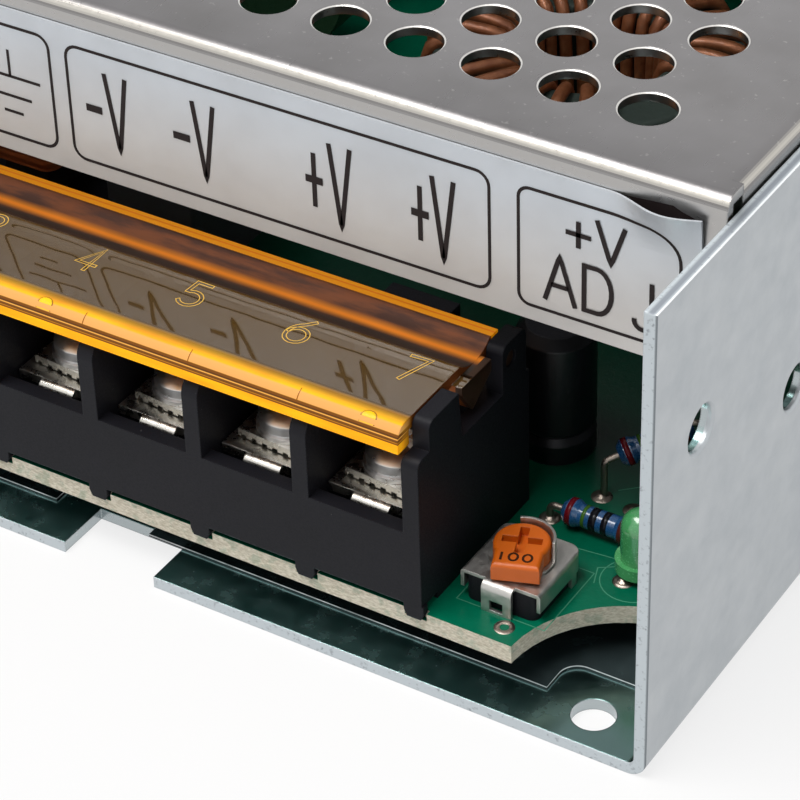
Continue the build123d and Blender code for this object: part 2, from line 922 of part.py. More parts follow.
def bracket_tab(x, y, top):
    """The tab bent down in front of the body."""
    face = y - trim_length / 2 - tab_front_gap
    corner = (Align.MIN, Align.MAX)
    with BuildSketch(side_plane(x - tab_front_width / 2)) as tab:
        with Locations((face - plate_thickness, top + plate_thickness)):
            Rectangle(tab_front_root, trim_height + plate_thickness, align=corner)
        fillet(tab.vertices().group_by(Axis.Y)[-1].sort_by(Axis.X)[0], tab_front_bend)
        with Locations((face, top)):
            Rectangle(tab_front_root, 2 * trim_height, align=corner, mode=Mode.SUBTRACT)
    return tab.sketch


def make_trimmer_bracket(x, y, top):
    pin_x = trim_width / 2 + skirt_gap + plate_thickness / 2
    pin_y = y + trim_length / 2 - plate_corner - side_pin_width / 2
    window_z = board_top + tab_window_rise
    with BuildPart() as bracket:
        extrude(bracket_section(x, y, top), amount=trim_length / 2, both=True)
        extrude(bracket_tab(x, y, top), amount=tab_front_width)
        cut_rear_corners(x, y, top)
        with Locations((x, y - trim_length / 2 - tab_front_gap, window_z)):
            Box(tab_window, tab_front_root, tab_window_height, mode=Mode.SUBTRACT)
        with Locations((x, y, top)):
            Cylinder(knob_axle_radius + plate_hole_play, 4 * plate_thickness, mode=Mode.SUBTRACT)
        with Locations(*[(x + side * pin_x, pin_y, board_top) for side in (1, -1)]):
            Box(plate_thickness, side_pin_width, trim_height - skirt_drop + join, align=on_base)
    save(bracket, "trimmer_bracket")


def cut_rear_corners(x, y, top):
    """Rounds the bracket's two rear corners, seen from above."""
    reach = trim_width / 2 + skirt_gap + plate_thickness
    back = y + trim_length / 2
    with BuildSketch(Plane.XY.offset(top - skirt_drop)) as corners:
        for side in (1, -1):
            inner_x, inner_y = x + side * (reach - plate_corner), back - plate_corner
            with Locations((inner_x + side * plate_corner / 2, inner_y + plate_corner / 2)):
                Rectangle(plate_corner, plate_corner)
            with Locations((inner_x, inner_y)):
                Circle(plate_corner, mode=Mode.SUBTRACT)
    extrude(corners.sketch, amount=2 * skirt_drop, mode=Mode.SUBTRACT)


def make_trimmer_wiper(x, y, top):
    """The turning sheet under the knob, with its raised rim behind."""
    low = top + plate_thickness + knob_gap
    with BuildPart() as wiper:
        with BuildSketch(Plane.XY.offset(low)) as ring:
            with Locations((x, y)):
                Circle(wiper_radius)
        extrude(amount=wiper_sheet)
        with BuildSketch(Plane.XY.offset(low + wiper_sheet)) as rim:
            with Locations((x, y)):
                Circle(wiper_radius)
                Circle(wiper_radius - wiper_sheet, mode=Mode.SUBTRACT)
                slice_away(x, y)
        extrude(amount=wiper_height)
        with Locations((x, y, low)):
            Cylinder(knob_axle_radius, 4 * wiper_sheet, mode=Mode.SUBTRACT)
    save(wiper, "trimmer_wiper")


def make_trimmer_knob(x, y, top):
    low = top + plate_thickness + knob_gap + wiper_sheet
    with BuildPart() as knob:
        with BuildSketch(Plane.XY.offset(low)) as base:
            with Locations(Location((x, y, 0), (0, 0, knob_turn))):
                Circle(knob_radius)
                with Locations((0, -knob_block_reach / 2)):
                    Rectangle(knob_block_width, knob_block_reach)
        extrude(amount=knob_height)
        fillet(knob.edges().group_by(Axis.Z)[-1], knob_edge)
        with Locations((x, y, low)):
            Cylinder(knob_axle_radius, low - top + knob_axle_depth, align=hung)
        with Locations(Location((x, y, low + knob_height), (0, 0, knob_turn))):
            Box(knob_slot_length, knob_slot_width, 2 * knob_slot_depth, mode=Mode.SUBTRACT)
            Box(knob_slot_width, knob_slot_length, 2 * knob_slot_depth, mode=Mode.SUBTRACT)
    save(knob, "trimmer_knob")


def slice_away(x, y):
    """Leaves only the wiper's rim between its start angle and the end of its sweep."""
    reach = 3 * wiper_radius
    first = radians(wiper_start)
    last = radians(wiper_start + wiper_sweep)
    with BuildLine() as wedge:
        Polyline(
            (x, y),
            (x + reach * cos(last), y + reach * sin(last)),
            (x - reach, y + reach * sin(last)),
            (x - reach, y - reach),
            (x + reach, y - reach),
            (x + reach, y + reach * sin(first)),
            (x + reach * cos(first), y + reach * sin(first)),
            close=True,
        )
    make_face(wedge.edges(), mode=Mode.SUBTRACT)


def make_led():
    x, y = right_spot(led_inset, led_depth)
    low = board_top + led_lift
    with BuildPart() as led:
        with Locations((x, y, low)):
            Cylinder(led_flange_radius, led_flange_height, align=on_base)
            Cylinder(led_radius, led_body, align=on_base)
        with Locations((x, y, low + led_body)):
            Sphere(led_radius, align=Align.CENTER)
        with Locations(*[(x + way * led_lead_pitch / 2, y, board_top) for way in (1, -1)]):
            Box(led_lead, led_lead, led_lift + join, align=on_base)
    save(led, "led")


def resistor_body(start, direction):
    """A moulded barrel with a bulge at each end, along a direction from its start."""
    plane = Plane(origin=start, z_dir=direction)
    half = [
        (0, 0),
        (resistor_nose, 0),
        (resistor_bulge, resistor_nose_length),
        (resistor_bulge, resistor_bulge_end),
        (resistor_radius, resistor_neck_end),
    ]
    other = [(r, resistor_length - run) for r, run in reversed(half)]
    with BuildSketch(Plane(origin=plane.origin, x_dir=plane.x_dir, z_dir=-plane.y_dir)) as profile:
        with BuildLine():
            Polyline(*half, *other, close=True)
        make_face()
    revolve(profile.sketch, axis=Axis(plane.origin, plane.z_dir))


def leaning_start():
    x, y = right_spot(leaning_foot_inset, leaning_foot_depth)
    return Vector(x, y, board_top + leaning_lift)


def leaning_direction():
    turn, rise = radians(leaning_heading), radians(leaning_rise)
    return Vector(cos(rise) * cos(turn), cos(rise) * sin(turn), sin(rise))


def make_resistors():
    x, y = right_spot(resistor_inset, resistor_depth)
    z = board_top + resistor_lift + resistor_bulge
    run = (resistor_span - resistor_length) / 2
    start = leaning_start()
    end = start + leaning_direction() * leaning_low_run
    with BuildPart() as bodies:
        resistor_body(Vector(x - resistor_length / 2, y, z), Vector(1, 0, 0))
        resistor_body(end, leaning_direction())
    save(bodies, "resistors")
    with BuildPart() as leads:
        for way in (1, -1):
            inner = Vector(x + way * resistor_length / 2, y, z)
            outer = Vector(x + way * (resistor_length / 2 + run), y, z)
            bent_lead([inner, outer, Vector(outer.X, outer.Y, board_top)])
        bent_lead([end, start, Vector(start.X, start.Y, board_top)])
        far = end + leaning_direction() * resistor_length
        tail = far + leaning_direction() * leaning_high_run
        bent_lead([far, tail, Vector(tail.X, tail.Y, board_top)])
    save(leads, "resistor_leads")


def bent_lead(points):
    with BuildLine() as path:
        FilletPolyline(*points, radius=2 * resistor_lead)
    with BuildSketch(Plane(origin=points[0], z_dir=path.line % 0)) as section:
        Circle(resistor_lead)
    sweep(section.sketch, path=path.line)


def capacitor(place, radius, tall):
    """An aluminium can with its crimp groove above the board and a rounded rim."""
    x, y = place
    with BuildSketch(Plane.XZ.offset(-y)) as profile:
        with BuildLine():
            Polyline(
                (x, board_top),
                (x + radius, board_top),
                (x + radius, board_top + cap_groove_lift - cap_groove),
                (x + radius - cap_groove, board_top + cap_groove_lift),
                (x + radius, board_top + cap_groove_lift + cap_groove),
                (x + radius, board_top + tall - cap_edge),
                (x + radius - cap_edge, board_top + tall),
                (x, board_top + tall),
                close=True,
            )
        make_face()
    revolve(profile.sketch, axis=Axis((x, y, 0), (0, 0, 1)))


def make_capacitors():
    with BuildPart() as small:
        capacitor(right_spot(*small_cap_spot), small_cap_radius, small_cap_height)
    save(small, "small_capacitor")
    with BuildPart() as outputs:
        for place in output_cap_spots:
            capacitor(right_spot(*place), output_cap_radius, output_cap_height)
    save(outputs, "output_capacitors")
    with BuildPart() as inputs:
        for place in input_cap_spots:
            capacitor(left_spot(*place), input_cap_radius, input_cap_height)
    save(inputs, "input_capacitors")


def ring_profile(inner, outer, wide, rounding):
    with BuildSketch(Plane.XZ) as profile:
        with Locations(((inner + outer) / 2, 0)):
            Rectangle(outer - inner, wide)
        fillet(profile.vertices(), rounding)
    return profile.sketch


def make_inductor():
    """A wound toroid lying on the board behind the output terminals."""
    x, y = right_spot(*toroid_spot)
    place = Location((x, y, board_top + winding_build + toroid_width / 2))
    axis = Axis((x, y, 0), (0, 0, 1))
    with BuildPart() as core:
        sketch = ring_profile(toroid_inner, toroid_outer, toroid_width, toroid_round)
        revolve(place * sketch, axis=axis)
    save(core, "inductor_core")
    gap, build = winding_clearance, winding_build
    inner, outer = toroid_inner, toroid_outer
    outside = ring_profile(inner - build, outer + build, toroid_width + 2 * build, build)
    inside = ring_profile(inner - gap, outer + gap, toroid_width + 2 * gap, toroid_round)
    with BuildPart() as winding:
        revolve(place * outside, axis=axis, revolution_arc=winding_arc)
        revolve(place * inside, axis=axis, mode=Mode.SUBTRACT)
    save(winding, "inductor_winding")


def make_transformer():
    x, y = right_spot(*core_spot)
    wide, deep, tall = core_size
    limb = (wide - 2 * core_window - core_leg) / 2
    inside = tall - 2 * limb
    middle = board_top + bobbin_wall + tall / 2
    with BuildPart() as core:
        with BuildSketch(Plane.XZ.offset(-y)) as face:
            with Locations((x, middle)):
                Rectangle(wide, tall)
                for side in (1, -1):
                    with Locations((side * (core_leg + core_window) / 2, 0)):
                        Rectangle(core_window, inside, mode=Mode.SUBTRACT)
        extrude(amount=core_leg / 2, both=True)
    save(core, "transformer_core")
    make_bobbin(x, y, middle, inside)
    make_transformer_winding(x, y, middle, inside)


def make_bobbin(x, y, middle, inside):
    """A square tube round the core's leg, a flange at each end and feet to the board."""
    deep = core_size[1]
    tube = core_leg + 2 * bobbin_wall + bobbin_play
    flange = core_leg + 2 * (core_window - bobbin_play)
    tall = inside - 2 * bobbin_play
    foot = (deep - core_leg) / 2 - 2 * bobbin_play
    foot_height = middle - board_top - tall / 2 + bobbin_wall
    with BuildPart() as bobbin:
        with Locations((x, y, middle)):
            Box(tube, tube, tall)
            for side in (1, -1):
                with Locations((0, 0, side * (tall - bobbin_wall) / 2)):
                    Box(flange, deep, bobbin_wall)
            Box(core_leg + bobbin_play, core_leg + bobbin_play, inside, mode=Mode.SUBTRACT)
        with Locations(*[(x, y + side * (core_leg + deep) / 4, board_top) for side in (1, -1)]):
            Box(flange, foot, foot_height, align=on_base)
    save(bobbin, "transformer_bobbin")


def make_transformer_winding(x, y, middle, inside):
    clear = core_leg + 2 * (bobbin_wall + bobbin_play)
    across = clear + 2 * winding_wrap
    with BuildPart() as winding:
        with BuildSketch(Plane.XY.offset(middle)) as coil:
            with Locations((x, y)):
                RectangleRounded(across, across + 2 * winding_bulge, winding_round)
                Rectangle(clear, clear, mode=Mode.SUBTRACT)
        extrude(amount=inside / 2 - bobbin_wall - winding_gap, both=True)
    save(winding, "transformer_winding")


def make_choke():
    """A square ferrite ring on a base plate, with a coil on each upright."""
    x, y = left_spot(*choke_spot)
    wide, deep, tall = choke_size
    middle = board_top + choke_coil_build + tall / 2
    inside = tall - 2 * choke_bar
    with BuildPart() as core:
        with BuildSketch(Plane.YZ.offset(x)) as face:
            with Locations((y, middle)):
                Rectangle(deep, tall)
                Rectangle(deep - 2 * choke_bar, inside, mode=Mode.SUBTRACT)
        extrude(amount=choke_bar / 2, both=True)
    save(core, "choke_core")
    with BuildPart() as base:
        with Locations((x, y, board_top)):
            Box(wide, deep + 2 * choke_coil_build, choke_coil_build, align=on_base)
        fillet(base.edges().filter_by(Axis.Z), choke_base_round)
    save(base, "choke_base")
    coil = choke_bar + 2 * choke_coil_build
    bore = choke_bar + 2 * choke_play
    uprights = [(x, y + side * (deep - choke_bar) / 2, middle) for side in (1, -1)]
    with BuildPart() as coils:
        with Locations(*uprights):
            Box(coil, coil, inside - 4 * choke_play)
        fillet(coils.edges().filter_by(Axis.Z), choke_coil_round)
        with Locations(*uprights):
            Box(bore, bore, tall, mode=Mode.SUBTRACT)
    save(coils, "choke_coils")


def make_blocks():
    with BuildPart() as x_cap:
        with Locations((*left_spot(*x_cap_spot), board_top)):
            Box(*x_cap_size, align=on_base)
        chamfer(x_cap.edges().group_by(Axis.Z)[-1], x_cap_edge)
    save(x_cap, "x_capacitor")
    with BuildPart() as bridge:
        with Locations((*left_spot(*bridge_spot), board_top)):
            Box(*bridge_size, align=on_base)
        chamfer(bridge.edges().filter_by(Axis.Y).sort_by(Axis.Z)[-1], bridge_corner)
    save(bridge, "bridge_rectifier")
    with BuildPart() as chips:
        for place in chip_spots:
            with Locations((*right_spot(*place), board_top)):
                Box(*chip_size, align=on_base)
    save(chips, "control_chips")


def make_fuse():
    x, y = left_spot(*fuse_spot)
    plane = Plane(origin=(x, y, board_top + fuse_lift + fuse_radius), z_dir=(0, 1, 0))
    with BuildPart() as fuse:
        with BuildSketch(plane):
            Circle(fuse_radius)
        extrude(amount=fuse_length / 2, both=True)
    save(fuse, "fuse")
    with BuildPart() as clips:
        for way in (1, -1):
            end = y + way * (fuse_length - fuse_clip_length) / 2
            extrude(fuse_clip_section(x, end), amount=fuse_clip_length / 2, both=True)
    save(clips, "fuse_clips")


def fuse_clip_section(x, y):
    """A spring clip open at the top, gripping the fuse above its middle."""
    hold = fuse_radius + fuse_clip_play
    tall = fuse_lift + fuse_radius + fuse_clip_grip
    upright = (Align.CENTER, Align.MIN)
    with BuildSketch(Plane.XZ.offset(-y)) as section:
        with Locations((x, board_top)):
            Rectangle(2 * (hold + fuse_clip_sheet), tall, align=upright)
        with Locations((x, board_top + fuse_lift + fuse_radius)):
            Circle(hold, mode=Mode.SUBTRACT)
            mouth = 2 * (hold - fuse_clip_sheet)
            Rectangle(mouth, 2 * fuse_radius, align=upright, mode=Mode.SUBTRACT)
    return section.sketch


def make_discs():
    with BuildPart() as thermistor:
        disc(left_spot(*thermistor_spot), thermistor_radius, thermistor_thickness)
    save(thermistor, "thermistor")
    with BuildPart() as y_caps:
        for place in y_cap_spots:
            disc(right_spot(*place), y_cap_radius, y_cap_thickness)
    save(y_caps, "y_capacitors")


def disc(place, radius, thickness):
    """A dipped disc standing on edge, its two legs down to the board."""
    x, y = place
    with BuildSketch(Plane.XZ.offset(-y)) as face:
        with Locations((x, board_top + radius + disc_lift)):
            Circle(radius)
    extrude(face.sketch, amount=thickness / 2, both=True)
    with Locations(*[(x + way * radius / 2, y, board_top) for way in (1, -1)]):
        Cylinder(disc_leg_radius, radius, align=on_base)


def make_power_devices():
    """Heat bars on both side walls with the power devices clipped to them."""
    tall = height - side_flange_drop - bar_gap - board_top - bar_lift
    middle = front + (bar_start + bar_end) / 2
    with BuildPart() as bars:
        for side in (1, -1):
            x = side * (right - base_sheet - bar_thickness / 2)
            with Locations((x, middle, board_top + bar_lift)):
                Box(bar_thickness, bar_end - bar_start, tall, align=on_base)
    save(bars, "heat_bars")
    face = right - base_sheet - bar_thickness
    legs = (*device_legs, device_lift)
    with BuildPart() as devices:
        for side, depths in ((1, right_device_depths), (-1, left_device_depths)):
            lean = Align.MAX if side > 0 else Align.MIN
            for depth in depths:
                with Locations((side * face, front + depth, board_top + device_lift)):
                    Box(*device_size, align=(lean, Align.CENTER, Align.MIN))
                    with Locations((0, 0, device_size[2])):
                        Box(*device_tab, align=(lean, Align.CENTER, Align.MIN))
                    with Locations((-side * device_size[0] / 2, 0, 0)):
                        Box(*legs, align=hung)
    save(devices, "power_devices")


def main():
    os.makedirs("parts", exist_ok=True)
    make_chassis()
    make_cover()
    make_label()
    make_film()
    make_board()
    make_posts()
    make_cover_screws()
    make_terminal_block()
    make_contacts()
    for number, x in enumerate(way_centres, 1):
        make_clamp(number, x)
        make_screw(number, x)
    make_terminal_cover()
    make_trimmer()
    make_led()
    make_resistors()
    make_capacitors()
    make_inductor()
    make_transformer()
    make_choke()
    make_blocks()
    make_fuse()
    make_discs()
    make_power_devices()


main()
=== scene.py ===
"""Looks for the enclosed switching power supply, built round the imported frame.

Sizes are in millimetres until point() turns them into metres.
"""

from math import cos, pi, radians, sin

import bpy
from mathutils import Matrix, Vector


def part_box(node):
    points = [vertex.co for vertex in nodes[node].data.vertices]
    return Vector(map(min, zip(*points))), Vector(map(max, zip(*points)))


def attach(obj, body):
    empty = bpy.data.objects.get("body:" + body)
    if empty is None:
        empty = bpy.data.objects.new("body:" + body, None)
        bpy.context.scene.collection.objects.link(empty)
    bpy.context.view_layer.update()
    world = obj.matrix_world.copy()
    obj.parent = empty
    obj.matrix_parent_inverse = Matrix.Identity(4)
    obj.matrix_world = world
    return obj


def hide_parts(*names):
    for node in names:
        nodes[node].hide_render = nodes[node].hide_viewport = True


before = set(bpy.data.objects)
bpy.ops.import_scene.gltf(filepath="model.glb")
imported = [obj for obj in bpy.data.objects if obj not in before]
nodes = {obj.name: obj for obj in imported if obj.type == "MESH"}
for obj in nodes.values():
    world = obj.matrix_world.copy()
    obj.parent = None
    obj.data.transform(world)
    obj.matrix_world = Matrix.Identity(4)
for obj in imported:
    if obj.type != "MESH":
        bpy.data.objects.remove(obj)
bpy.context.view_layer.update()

MM = 0.001
RIGHT, FRONT, WALL_TOP = 49.0, -79.5, 40.4
WAYS, PITCH = 7, 9.5


def point(x, y, z):
    return Vector((x, y, z)) * MM


def spot(inset, depth, z):
    """A place given from the right wall's outside, the front edge and the underside."""
    return RIGHT - inset, FRONT + depth, z


def low(node):
    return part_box(node)[0] / MM


def high(node):
    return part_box(node)[1] / MM


def srgb(red, green, blue):
    """The shader's colour for one read off a picture."""
    scaled = [c / 255 for c in (red, green, blue)]
    return [c / 12.92 if c <= 0.04045 else ((c + 0.055) / 1.055) ** 2.4 for c in scaled] + [1.0]


def grey(level):
    return [level] * 4


# Materials


class Look:
    """Short calls for one material's nodes. Texture places are in millimetres."""

    def __init__(self, name, **sockets):
        self.name = name
        self.material = bpy.data.materials.new(name)
        self.material.use_nodes = True
        self.tree = self.material.node_tree
        self.shader = self.tree.nodes["Principled BSDF"]
        for socket, value in sockets.items():
            self.shader.inputs[socket.replace("_", " ")].default_value = value
        where = self.tree.nodes.new("ShaderNodeTexCoord").outputs["Object"]
        scaled = self.add("ShaderNodeVectorMath", operation="SCALE")
        self.tree.links.new(where, scaled.inputs[0])
        scaled.inputs["Scale"].default_value = 1 / MM
        self.place = scaled.outputs[0]
        split = self.add("ShaderNodeSeparateXYZ")
        self.tree.links.new(self.place, split.inputs[0])
        self.x, self.y, self.z = split.outputs
        shape = self.add("ShaderNodeNewGeometry")
        facing = self.add("ShaderNodeSeparateXYZ")
        self.tree.links.new(shape.outputs["True Normal"], facing.inputs[0])
        self.facing = facing.outputs

    def add(self, kind, **settings):
        node = self.tree.nodes.new(kind)
        for name, value in settings.items():
            setattr(node, name, value)
        return node

    def feed(self, socket, value):
        if isinstance(value, bpy.types.NodeSocket):
            self.tree.links.new(value, socket)
        else:
            socket.default_value = value

    def set(self, **sockets):
        for name, value in sockets.items():
            self.feed(self.shader.inputs[name.replace("_", " ")], value)

    def stretch(self, x, y, z):
        node = self.add("ShaderNodeVectorMath", operation="MULTIPLY")
        self.feed(node.inputs[0], self.place)
        node.inputs[1].default_value = (x, y, z)
        return node.outputs[0]

    def noise(self, scale, detail=4.0, place=None, roughness=0.55):
        node = self.add("ShaderNodeTexNoise")
        self.feed(node.inputs["Vector"], place or self.place)
        node.inputs["Scale"].default_value = scale
        node.inputs["Detail"].default_value = detail
        node.inputs["Roughness"].default_value = roughness
        return node.outputs[0]

    def cells(self, scale):
        """The distance to the nearest of many scattered points."""
        node = self.add("ShaderNodeTexVoronoi")
        self.feed(node.inputs["Vector"], self.place)
        node.inputs["Scale"].default_value = scale
        return node.outputs["Distance"]

    def math(self, operation, a, b=0.0):
        node = self.add("ShaderNodeMath", operation=operation)
        self.feed(node.inputs[0], a)
        self.feed(node.inputs[1], b)
        return node.outputs[0]

    def times(self, a, b):
        return self.math("MULTIPLY", a, b)

    def most(self, first, *others):
        """The greatest of some values."""
        for other in others:
            first = self.math("MAXIMUM", first, other)
        return first

    def span(self, value, start, end, low=0.0, high=1.0):
        """Maps value from start..end to low..high, clamped."""
        node = self.add("ShaderNodeMapRange")
        for socket, entry in zip(node.inputs, (value, start, end, low, high)):
            self.feed(socket, entry)
        return node.outputs[0]

    def band(self, value, start, end, blur=0.02):
        """One between start and end, zero outside."""
        rise = self.span(value, start - blur, start + blur)
        fall = self.span(value, end - blur, end + blur, 1.0, 0.0)
        return self.times(rise, fall)

    def uneven(self, value, low, high):
        """A noise value stretched over low..high."""
        return self.span(value, 0.3, 0.7, low, high)

    def depth(self):
        """How far a place is behind the front edge."""
        return self.math("SUBTRACT", self.y, FRONT)

    def cut_edge(self):
        """One where a sheet shows its edge, zero on its two faces."""
        return self.span(self.math("ABSOLUTE", self.facing[2]), 0.4, 0.6, 1.0, 0.0)

    def mix(self, share, a, b):
        node = self.add("ShaderNodeMix", data_type="RGBA")
        for place, entry in zip((0, 6, 7), (share, a, b)):
            self.feed(node.inputs[place], entry)
        return node.outputs[2]

    def mottle(self, value, dark, light, start=0.3, end=0.7):
        """Two picture colours blended by a noise value."""
        return self.mix(self.span(value, start, end), srgb(*dark), srgb(*light))

    def shade(self, colour, value, dark, light):
        """A colour scaled between two brightnesses by a noise value."""
        return self.scaled(colour, self.span(value, 0.25, 0.75, dark, light))

    def scaled(self, colour, level):
        node = self.add("ShaderNodeVectorMath", operation="SCALE")
        if isinstance(colour, bpy.types.NodeSocket):
            self.feed(node.inputs[0], colour)
        else:
            node.inputs[0].default_value = colour[:3]
        self.feed(node.inputs["Scale"], level)
        return node.outputs[0]

    def relief(self, heights, bevel=0.0):
        """Bumps from (height, depth in mm) pairs over an edge rounding."""
        normal = None
        if bevel:
            edge = self.add("ShaderNodeBevel", samples=4)
            edge.inputs["Radius"].default_value = bevel * MM
            normal = edge.outputs[0]
        for height, depth in heights:
            bump = self.add("ShaderNodeBump")
            bump.inputs["Distance"].default_value = depth * MM
            self.feed(bump.inputs["Height"], height)
            if normal:
                self.feed(bump.inputs["Normal"], normal)
            normal = bump.outputs[0]
        self.set(Normal=normal)


def grained(name, colour, roughness, vary=0.08, grain=3.0, bump=0.01, bevel=0.0, **sockets):
    """A moulded or cast surface: cloudy tone, fine grain and uneven gloss."""
    look = Look(name, **sockets)
    cloud, fine = look.noise(0.25), look.noise(grain, 6.0)
    tone = look.shade(srgb(*colour), cloud, 1 - vary, 1 + vary)
    look.set(Base_Color=tone, Roughness=look.uneven(fine, *roughness))
    look.relief([(fine, bump)], bevel)
    return look


def base_metal():
    """Zinc-coated sheet: pale mottled faces, brighter speckled cut edges with a painted highlight
    line, glossier inside, the floor inside with a painted green reflection and painted shade.
    """
    look = Look("base_metal", Metallic=1.0)
    spangle = look.noise(0.35, 3.0, look.stretch(1, 0.7, 1))
    face = look.mottle(spangle, (176, 181, 185), (186, 190, 193))
    across = look.math("ABSOLUTE", look.x)
    front_edge = look.span(look.y, FRONT + 0.02, FRONT + 0.06, 1.0, 0.0)
    top_edge = look.span(look.z, WALL_TOP - 0.04, WALL_TOP - 0.01)
    edge = look.most(front_edge, top_edge)
    cut = look.mottle(look.noise(3.2, 5.0), (152, 158, 163), (196, 203, 207), 0.28, 0.42)
    # A darker band across the middle of the wall's top edge.
    dull = look.times(look.band(across, RIGHT - 0.7, RIGHT - 0.25, 0.1), top_edge)
    cut = look.mix(dull, cut, srgb(150, 156, 163))
    # Painted highlight: a white line along the outer border of the wall's top edge, with a darker
    # line along the outer border of its front edge.
    rim = look.mix(top_edge, srgb(134, 140, 144), srgb(240, 243, 245))
    cut = look.mix(look.span(across, RIGHT - 0.2, RIGHT - 0.1), cut, rim)
    inner = look.band(look.x, 0.5 - RIGHT, RIGHT - 0.5)
    floor = look.times(inner, look.span(look.facing[2], 0.5, 0.9))
    colour = look.mix(inner, face, srgb(174, 182, 184))
    # Painted reflection and shade: the floor inside is tinted green for the board above it, and
    # scaled darker towards the right wall.
    shade = look.span(look.x, 30.0, 46.0, 1.25, 0.75)
    colour = look.mix(floor, colour, look.scaled(srgb(152, 188, 186), shade))
    look.set(Base_Color=look.mix(edge, colour, cut))
    gloss = look.uneven(look.noise(0.6), 0.34, 0.46)
    gloss = look.math("SUBTRACT", gloss, look.times(inner, 0.16))
    look.set(Roughness=look.most(gloss, look.times(edge, 0.6)))
    calm = look.span(floor, 0.0, 1.0, 1.0, 0.2)
    bumps = ((look.noise(5.0, 5.0), 0.006), (look.cells(1.6), 0.008))
    look.relief([(look.times(height, calm), depth) for height, depth in bumps], 0.18)
    return look


def cover_metal():
    """Plain steel with a fine rolled grain along the case and a warm tone, with painted light:
    vertical faces lighter, a painted highlight along the rounded front edge, and a top darker
    towards its front.
    """
    look = Look("cover_metal", Metallic=1.0)
    grain = look.noise(2.0, 6.0, look.stretch(1.0, 0.12, 1.0))
    tone = look.mottle(look.noise(0.12, 3.0), (128, 126, 126), (142, 140, 141))
    specks = look.span(look.noise(1.8, 2.0), 0.68, 0.74)
    tone = look.mix(specks, tone, srgb(156, 154, 153))
    # The top is scaled darker towards its front edge.
    top = look.scaled(tone, look.span(look.y, FRONT + 13, FRONT + 22, 0.8, 1.0))
    # Painted light: vertical faces lighter than the top, and a painted highlight along the rounded
    # front edge.
    painted_upright_light = look.span(look.facing[2], 0.1, 0.3, 1.0, 0.0)
    painted_bend_highlight = look.band(look.facing[2], 0.42, 0.76, 0.1)
    colour = look.mix(painted_upright_light, top, srgb(174, 172, 170))
    look.set(Base_Color=look.mix(painted_bend_highlight, colour, srgb(198, 194, 186)))
    look.set(Roughness=look.uneven(grain, 0.26, 0.36))
    look.relief([(grain, 0.004)], 0.22)
    return look


def label_foil():
    """Matt silver foil, slightly mottled, with a painted reflection tint: warmer low down and cooler
    above.
    """
    look = Look("label_foil", Metallic=0.45)
    cloud = look.noise(0.15, 3.0)
    # Painted reflection: the foil's tint runs from warm low down to cool above.
    warm = look.mottle(cloud, (202, 198, 195), (212, 209, 206))
    cool = look.mottle(cloud, (197, 202, 208), (207, 213, 220))
    look.set(Base_Color=look.mix(look.span(look.z, 30.0, 38.0), warm, cool))
    look.set(Roughness=look.uneven(look.noise(9.0), 0.4, 0.5))
    look.relief([(look.noise(0.5, 3.0), 0.03)])
    return look


def board_green():
    """Solder resist over traces, with the cream laminate on every cut edge, and painted shade
    darkening the green under the cover.
    """
    look = Look("board_green", Specular_IOR_Level=0.2)
    cloud = look.noise(1.5)
    traces = look.noise(0.12, 0.0, look.stretch(1.0, 0.6, 1.0))
    green = look.mottle(traces, (0, 104, 76), (2, 112, 82), 0.45, 0.55)
    green = look.shade(green, cloud, 0.94, 1.06)
    depth = look.depth()
    # Painted shade: the green darkens from the front edge in under the cover, and lightens again
    # further back where light comes through the vents.
    front = look.span(depth, 7.0, 14.0, 1.0, 0.66)
    front = look.math("SUBTRACT", front, look.span(depth, 19.0, 27.0, 0.0, 0.5))
    vent_lit_back = look.span(depth, 44.0, 54.0, 0.0, 0.75)
    green = look.scaled(green, look.most(front, vent_lit_back))
    under = look.span(look.facing[2], -0.5, -0.4, 1.0, 0.0)
    green = look.mix(under, green, srgb(58, 84, 82))
    fibre = look.noise(3.0, 6.0, look.stretch(1, 1, 3))
    cream = look.mottle(fibre, (188, 179, 158), (226, 220, 204), 0.35, 0.65)
    stain = look.span(look.noise(0.9, 4.0), 0.52, 0.6, 0.0, 0.35)
    cream = look.mix(stain, cream, srgb(120, 150, 126))
    side = look.cut_edge()
    look.set(Base_Color=look.mix(side, green, cream))
    look.set(Roughness=look.span(side, 0.0, 1.0, 0.28, 0.8))
    look.relief([(cloud, 0.01), (fibre, 0.02)])
    return look


def clear_film():
    """A dark clear sheet whose cut edges carry a painted highlight line along the top and a faint
    painted glow.
    """
    look = Look("clear_film", Transmission_Weight=0.45, IOR=1.5)
    side, haze = look.cut_edge(), look.noise(0.6, 4.0)
    body = look.mottle(haze, (54, 66, 68), (74, 88, 90))
    top = high("insulating_film").z
    # Painted highlight: a bright line along the top of each cut edge, glowing faintly by emission.
    bright = look.span(look.z, top - 0.12, top - 0.08)
    cut = look.mix(bright, srgb(60, 66, 68), srgb(236, 240, 242))
    painted_edge_glow = look.times(look.times(side, bright), look.span(haze, 0.35, 0.6, 0.05, 0.4))
    look.set(Base_Color=look.mix(side, body, cut), Emission_Color=cut, Emission_Strength=painted_edge_glow)
    look.set(Roughness=look.uneven(look.noise(2.0), 0.12, 0.24))
    look.relief([(look.noise(0.08, 2.0), 0.2)])
    return look


# Painted reflection and refraction bands along the flip cover's lip: from this height, to this
# height, in this colour
LIP_PAINTED_BANDS = (
    (21.16, 22.0, (120, 70, 6)),
    (21.3, 21.36, (206, 138, 20)),
    (21.6, 21.68, (236, 180, 84)),
    (21.72, 21.8, (84, 44, 4)),
    (22.0, 22.47, (216, 162, 92)),
)


